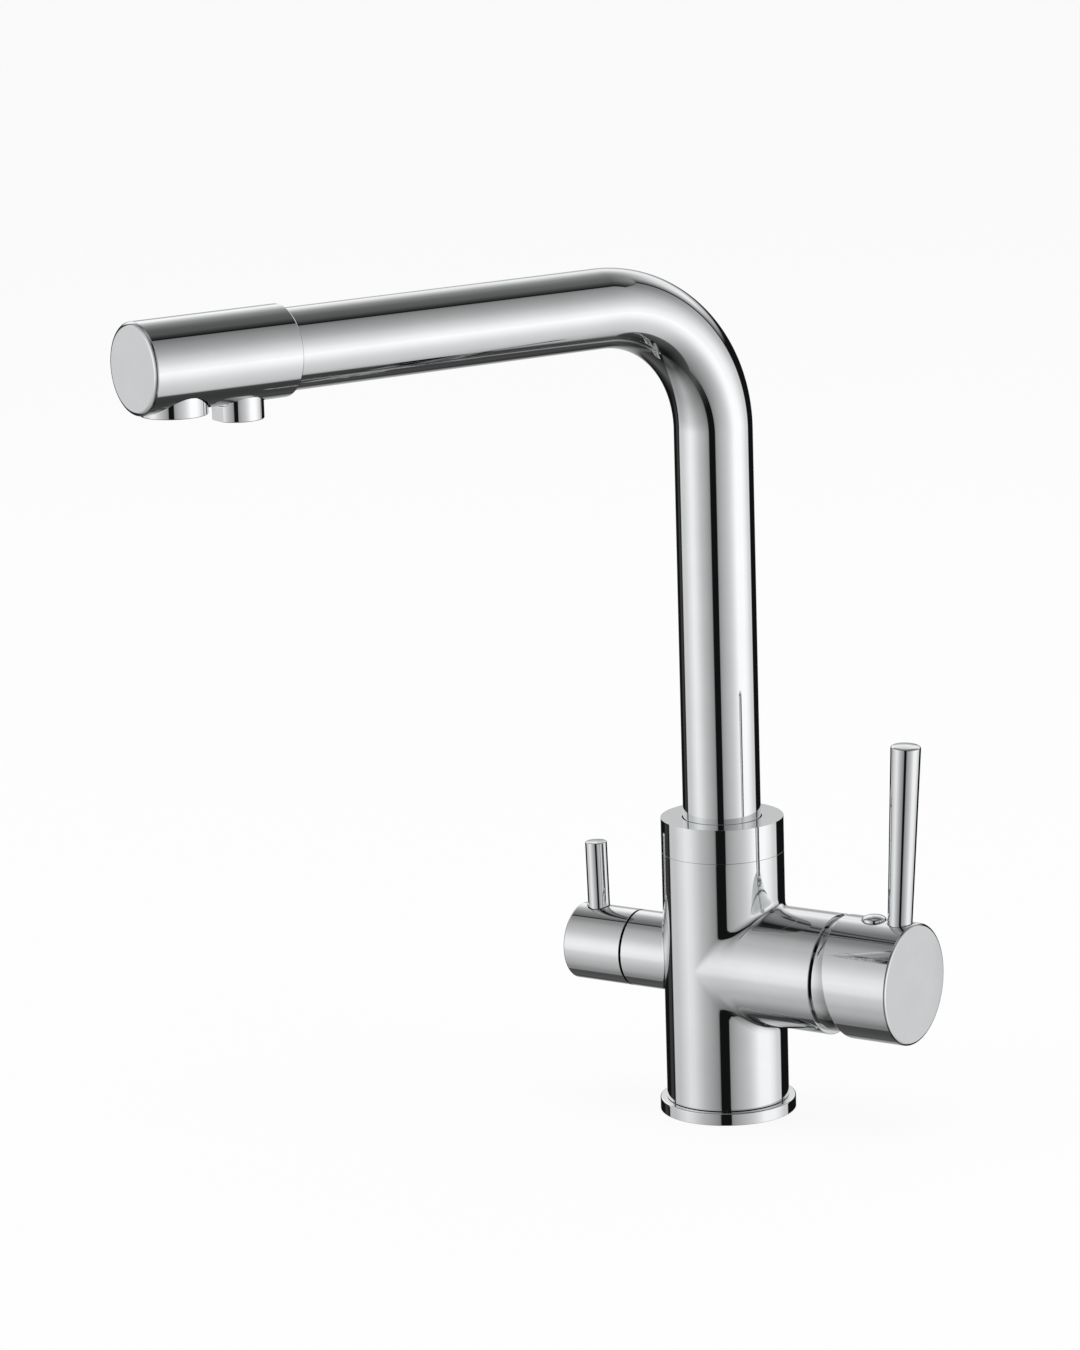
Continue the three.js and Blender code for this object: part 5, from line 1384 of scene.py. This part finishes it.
PANELS = (
    # large box on the left
    Panel(
        ((-121, 0.0), (-120.5, 0.45), (-119, 0.62), (-110, 0.62), (-102, 0.64), (-86, 0.81),
         (-76, 0.91), (-66, 0.86), (-57, 0.73), (-44, 0.55), (-30, 0.42), (-18, 0.3), (-15.5, 0.22),
         (-15, 0.0)),
        ((-72, 0.1), (-58, 0.36), (-50, 0.44), (-40, 0.48), (-30, 0.6), (-20, 0.71), (-12, 0.92),
         (0, 1.02), (11, 0.95), (21, 0.78), (31, 0.61), (41, 0.5), (54, 0.45), (58, 0.38),
         (66, 0.2), (75, 0.0)),
    ),
    # large box on the right, brighter
    Panel(
        ((3.0, 0.0), (3.5, 0.27), (10, 0.35), (20, 0.44), (30, 0.52), (40, 0.62), (50, 0.78),
         (60, 0.97), (66, 1.0), (84, 1.0), (98, 0.84), (106, 0.7), (113, 0.65), (119, 0.65),
         (120, 0.0)),
        ((-72, 0.0), (-56, 0.05), (-54, 0.5), (-49, 0.54), (-40, 0.6), (-30, 0.7), (-17, 0.9),
         (-9, 1.0), (-5, 0.93), (1.5, 0.87), (10, 0.72), (21, 0.56), (29, 0.44), (37, 0.35),
         (45, 0.28), (46, 0.0)),
    ),
    # its narrower top
    Panel(
        ((20, 0.0), (40, 0.62), (60, 0.97), (66, 1.0), (84, 1.0), (95, 0.95), (97, 0.0)),
        ((44, 0.0), (45, 0.28), (50, 0.24), (54, 0.2), (60, 0.18), (75, 0.0)),
    ),
    # white wall behind the tap, to the left of it
    Panel(
        ((-180, 1.0), (-134, 1.0), (-125, 0.4), (-124.5, 0.0)),
        ((8, 0.0), (11, 0.45), (14, 0.64), (20, 0.92), (34, 0.8), (43, 0.45), (50, 0.31),
         (57, 0.17), (66, 0.12), (75, 0.0)),
    ),
    # and to the right
    Panel(
        ((123.5, 0.0), (124, 0.25), (140, 1.0), (180, 1.0)),
        ((8, 0.0), (11, 0.4), (14, 0.5), (20, 0.84), (30, 0.72), (36, 0.52), (40, 0.4), (46, 0.25),
         (47, 0.0)),
    ),
    # and above the box on the right
    Panel(
        ((98, 0.0), (103, 0.2), (112, 0.5), (122, 0.9), (132, 1.0), (180, 1.0)),
        ((45, 0.0), (46, 0.25), (52, 0.175), (56, 0.12), (60, 0.09), (66, 0.08), (75, 0.0)),
    ),
    # dim corners behind the boxes
    Panel(
        ((-142, 0.0), (-137, 0.045), (-126, 0.04), (-124.5, 0.0)),
        ((-40, 0.0), (-20, 0.8), (0, 1.0), (20, 1.0), (60, 0.6)),
    ),
    # strip of light straight behind the tap
    Panel(
        ((-180, 0.5), (-175, 0.4), (-168, 0.0), (168, 0.0), (175, 0.4), (180, 0.5)),
        ((-60, 0.2), (-30, 0.7), (-10, 1.0), (8, 0.9), (12, 0.0)),
    ),
    # grey ceiling
    Panel(
        ((-180, 1.0), (180, 1.0)),
        ((58, 0.0), (61, 0.02), (65, 0.1), (72, 0.22), (90, 0.4)),
    ),
    # table round the tap
    Panel(
        ((-180, 0.08), (-100, 0.1), (-50, 0.2), (-20, 0.075), (30, 0.075), (60, 0.12), (100, 0.06),
         (180, 0.06)),
        ((-78, 0.1), (-62, 0.6), (-50, 1.0), (-40, 0.4), (-25, 0.0)),
    ),
)


@dataclass
class Studio:
    """Camera, white floor, soft lamps and the cards that the chrome mirrors.

    Lens and sensor are in mm, all other lengths in metres.

    Attributes:
        floor_glow: share of pure white in the floor that the camera sees.
        matt_world: strength of the world on matt pieces.
        lamps: name, place, size and power of each lamp.
        lamp_aim: height that the lamps are aimed at.
        chrome_share: of light that the chrome sends back.
        dark: light of the black cloth between the cards.
    """

    lens: float = 143.97
    sensor: float = 36
    clip: tuple[float, float] = (0.05, 60)
    camera_place: Point = (0.972249, -1.611589, 0.579989)
    azimuth: float = 33.044
    elevation: float = 12.517
    roll: float = -1.721
    floor_radius: float = 30
    floor_colour: str = "#f4f4f4"
    floor_glow: float = 0.9
    white: str = "#ffffff"
    matt_world: float = 0.55
    lamps: tuple[tuple[str, Point, float, float], ...] = (
        ("lamp_left", (-1.3, -0.9, 1.1), 1.4, 9.0),
        ("lamp_right", (1.7, 0.3, 1.0), 1.4, 12.0),
        ("lamp_top", (0.0, 0.0, 2.2), 1.8, 12.0),
    )
    lamp_aim: float = 0.12
    dome_radius: float = 40.0
    chrome_share: float = 0.79
    dark: float = 0.006
    panels: tuple[Panel, ...] = PANELS

    def build(self) -> None:
        """Sets up the whole studio."""
        self._camera()
        self._floor()
        self._world()
        self._lamps()
        self._dome()

    def _camera(self) -> None:
        """Camera at the photograph's angle."""
        a, e, r = (math.radians(v) for v in (self.azimuth, self.elevation, self.roll))
        back = Vector((math.sin(a) * math.cos(e), -math.cos(a) * math.cos(e), math.sin(e)))
        right = Vector((math.cos(a), math.sin(a), 0))
        up = back.cross(right)
        right, up = right * math.cos(r) + up * math.sin(r), up * math.cos(r) - right * math.sin(r)
        data = bpy.data.cameras.new("tap_camera")
        data.lens = self.lens
        data.sensor_width = self.sensor
        data.clip_start, data.clip_end = self.clip
        camera = bpy.data.objects.new("tap_camera", data)
        turn = Matrix((right, up, back)).transposed().to_4x4()
        camera.matrix_world = Matrix.Translation(self.camera_place) @ turn
        bpy.context.scene.collection.objects.link(camera)
        bpy.context.scene.camera = camera

    def _floor(self) -> None:
        """White floor that runs into the white background and keeps a soft shadow."""
        bpy.ops.object.select_all(action="DESELECT")
        bpy.ops.mesh.primitive_circle_add(vertices=64, radius=self.floor_radius, fill_type="NGON")
        floor = bpy.context.object
        floor.name = "studio_floor"
        material = bpy.data.materials.new("white_studio_floor")
        tree = emptied(material)
        seen = add_node(tree, "ShaderNodeLightPath").outputs["Is Camera Ray"]
        painted = add_node(tree, "ShaderNodeBsdfDiffuse", {"Color": linear(self.floor_colour)})
        glow = add_node(tree, "ShaderNodeEmission", {"Color": linear(self.white), "Strength": 1.0})
        share = add_node(tree, "ShaderNodeMath", {
            0: seen, 1: self.floor_glow,
        }, operation="MULTIPLY")
        mixed = add_node(tree, "ShaderNodeMixShader", {0: share, 1: painted, 2: glow})
        add_node(tree, "ShaderNodeOutputMaterial", {"Surface": mixed})
        floor.data.materials.append(material)
        floor.visible_glossy = False

    def _world(self) -> None:
        """White all round for the camera, metal and clear plastic, softer for matt pieces."""
        world = bpy.data.worlds.new("white_studio")
        bpy.context.scene.world = world
        tree = emptied(world)
        rays = add_node(tree, "ShaderNodeLightPath").outputs
        seen = rays["Is Camera Ray"]
        for name in ("Is Glossy Ray", "Is Transmission Ray"):
            seen = add_node(tree, "ShaderNodeMath", {0: seen, 1: rays[name]}, operation="MAXIMUM")
        strength = add_node(tree, "ShaderNodeMapRange", {
            "Value": seen, "To Min": self.matt_world, "To Max": 1.0,
        })
        sky = add_node(tree, "ShaderNodeBackground", {
            "Color": linear(self.white), "Strength": strength,
        })
        add_node(tree, "ShaderNodeOutputWorld", {"Surface": sky})

    def _lamps(self) -> None:
        """Two large soft boxes and a soft top light."""
        for name, place, size, power in self.lamps:
            data = bpy.data.lights.new(name, "AREA")
            data.size = size
            data.energy = power
            lamp = bpy.data.objects.new(name, data)
            aim = (Vector((0, 0, self.lamp_aim)) - Vector(place)).to_track_quat("-Z", "Y")
            lamp.matrix_world = Matrix.Translation(place) @ aim.to_matrix().to_4x4()
            lamp.visible_glossy = False
            bpy.context.scene.collection.objects.link(lamp)

    def _dome(self) -> None:
        """Cards round the tap, seen only in reflections."""
        bpy.ops.object.select_all(action="DESELECT")
        bpy.ops.mesh.primitive_uv_sphere_add(segments=96, ring_count=48, radius=self.dome_radius)
        dome = bpy.context.object
        dome.name = "studio_cards"
        material = bpy.data.materials.new("studio_cards")
        tree = emptied(material)
        place = add_node(tree, "ShaderNodeTexCoord").outputs["Object"]
        faced = add_node(tree, "ShaderNodeMapping", {
            "Vector": place, "Rotation": (0, 0, math.radians(90 - self.azimuth)),
        })
        parts = add_node(tree, "ShaderNodeSeparateXYZ", {"Vector": faced}).outputs
        side = add_node(tree, "ShaderNodeMath", {0: parts["Y"], 1: parts["X"]}, operation="ARCTAN2")
        rise = add_node(tree, "ShaderNodeMath", {
            0: parts["Z"], 1: self.dome_radius,
        }, operation="DIVIDE")
        rise = add_node(tree, "ShaderNodeMath", {0: rise}, operation="ARCSINE")
        side, rise = (
            add_node(tree, "ShaderNodeMapRange", {
                "Value": turn, "From Min": -most, "From Max": most,
            }) for turn, most in ((side, math.pi), (rise, math.pi / 2))
        )
        light = self.dark
        for panel in self.panels:
            across = self._ramp(tree, side, panel.sides, 360)
            up = self._ramp(tree, rise, panel.rises, 180)
            card = add_node(tree, "ShaderNodeMath", {0: across, 1: up}, operation="MULTIPLY")
            light = add_node(tree, "ShaderNodeMath", {0: card, 1: light}, operation="MAXIMUM")
        strength = add_node(tree, "ShaderNodeMath", {
            0: light, 1: self.chrome_share,
        }, operation="DIVIDE")
        glow = add_node(tree, "ShaderNodeEmission", {
            "Color": linear(self.white), "Strength": strength,
        })
        add_node(tree, "ShaderNodeOutputMaterial", {"Surface": glow})
        dome.data.materials.append(material)
        for rays in ("camera", "diffuse", "transmission", "volume_scatter", "shadow"):
            setattr(dome, f"visible_{rays}", False)

    @staticmethod
    def _ramp(tree: Tree, turn: bpy.types.Node, stops: Outline, span: float) -> bpy.types.Node:
        """A ramp of light over an angle.

        Args:
            tree: node tree that takes the ramp.
            turn: gives the angle as a share of its span.
            stops: degrees from the middle, and light. Light stays between 0 and 2.
            span: of the angle, in degrees.

        Returns:
            The node that gives the light.
        """
        ramp = add_node(tree, "ShaderNodeValToRGB", {"Fac": turn})
        set_stops(ramp.color_ramp, [
            (0.5 + degrees / span, (light / 2, light / 2, light / 2, 1)) for degrees, light in stops
        ])
        return add_node(tree, "ShaderNodeMath", {0: ramp, 1: 2.0}, operation="MULTIPLY")


def main() -> None:
    """Builds the studio and the tap."""
    logging.basicConfig(level=logging.INFO, format="%(name)s: %(message)s")
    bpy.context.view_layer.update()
    InnerPieces(frame["nodes"]).dress()
    for part in (Studio(), BaseAndBody(), SpoutTube(), OutletHead(), MixerHandle(), FilterHandle()):
        part.build()
        log.info("%s is built", type(part).__name__)
    bpy.context.scene.view_settings.view_transform = "Standard"


if __name__ == "__main__":
    main()
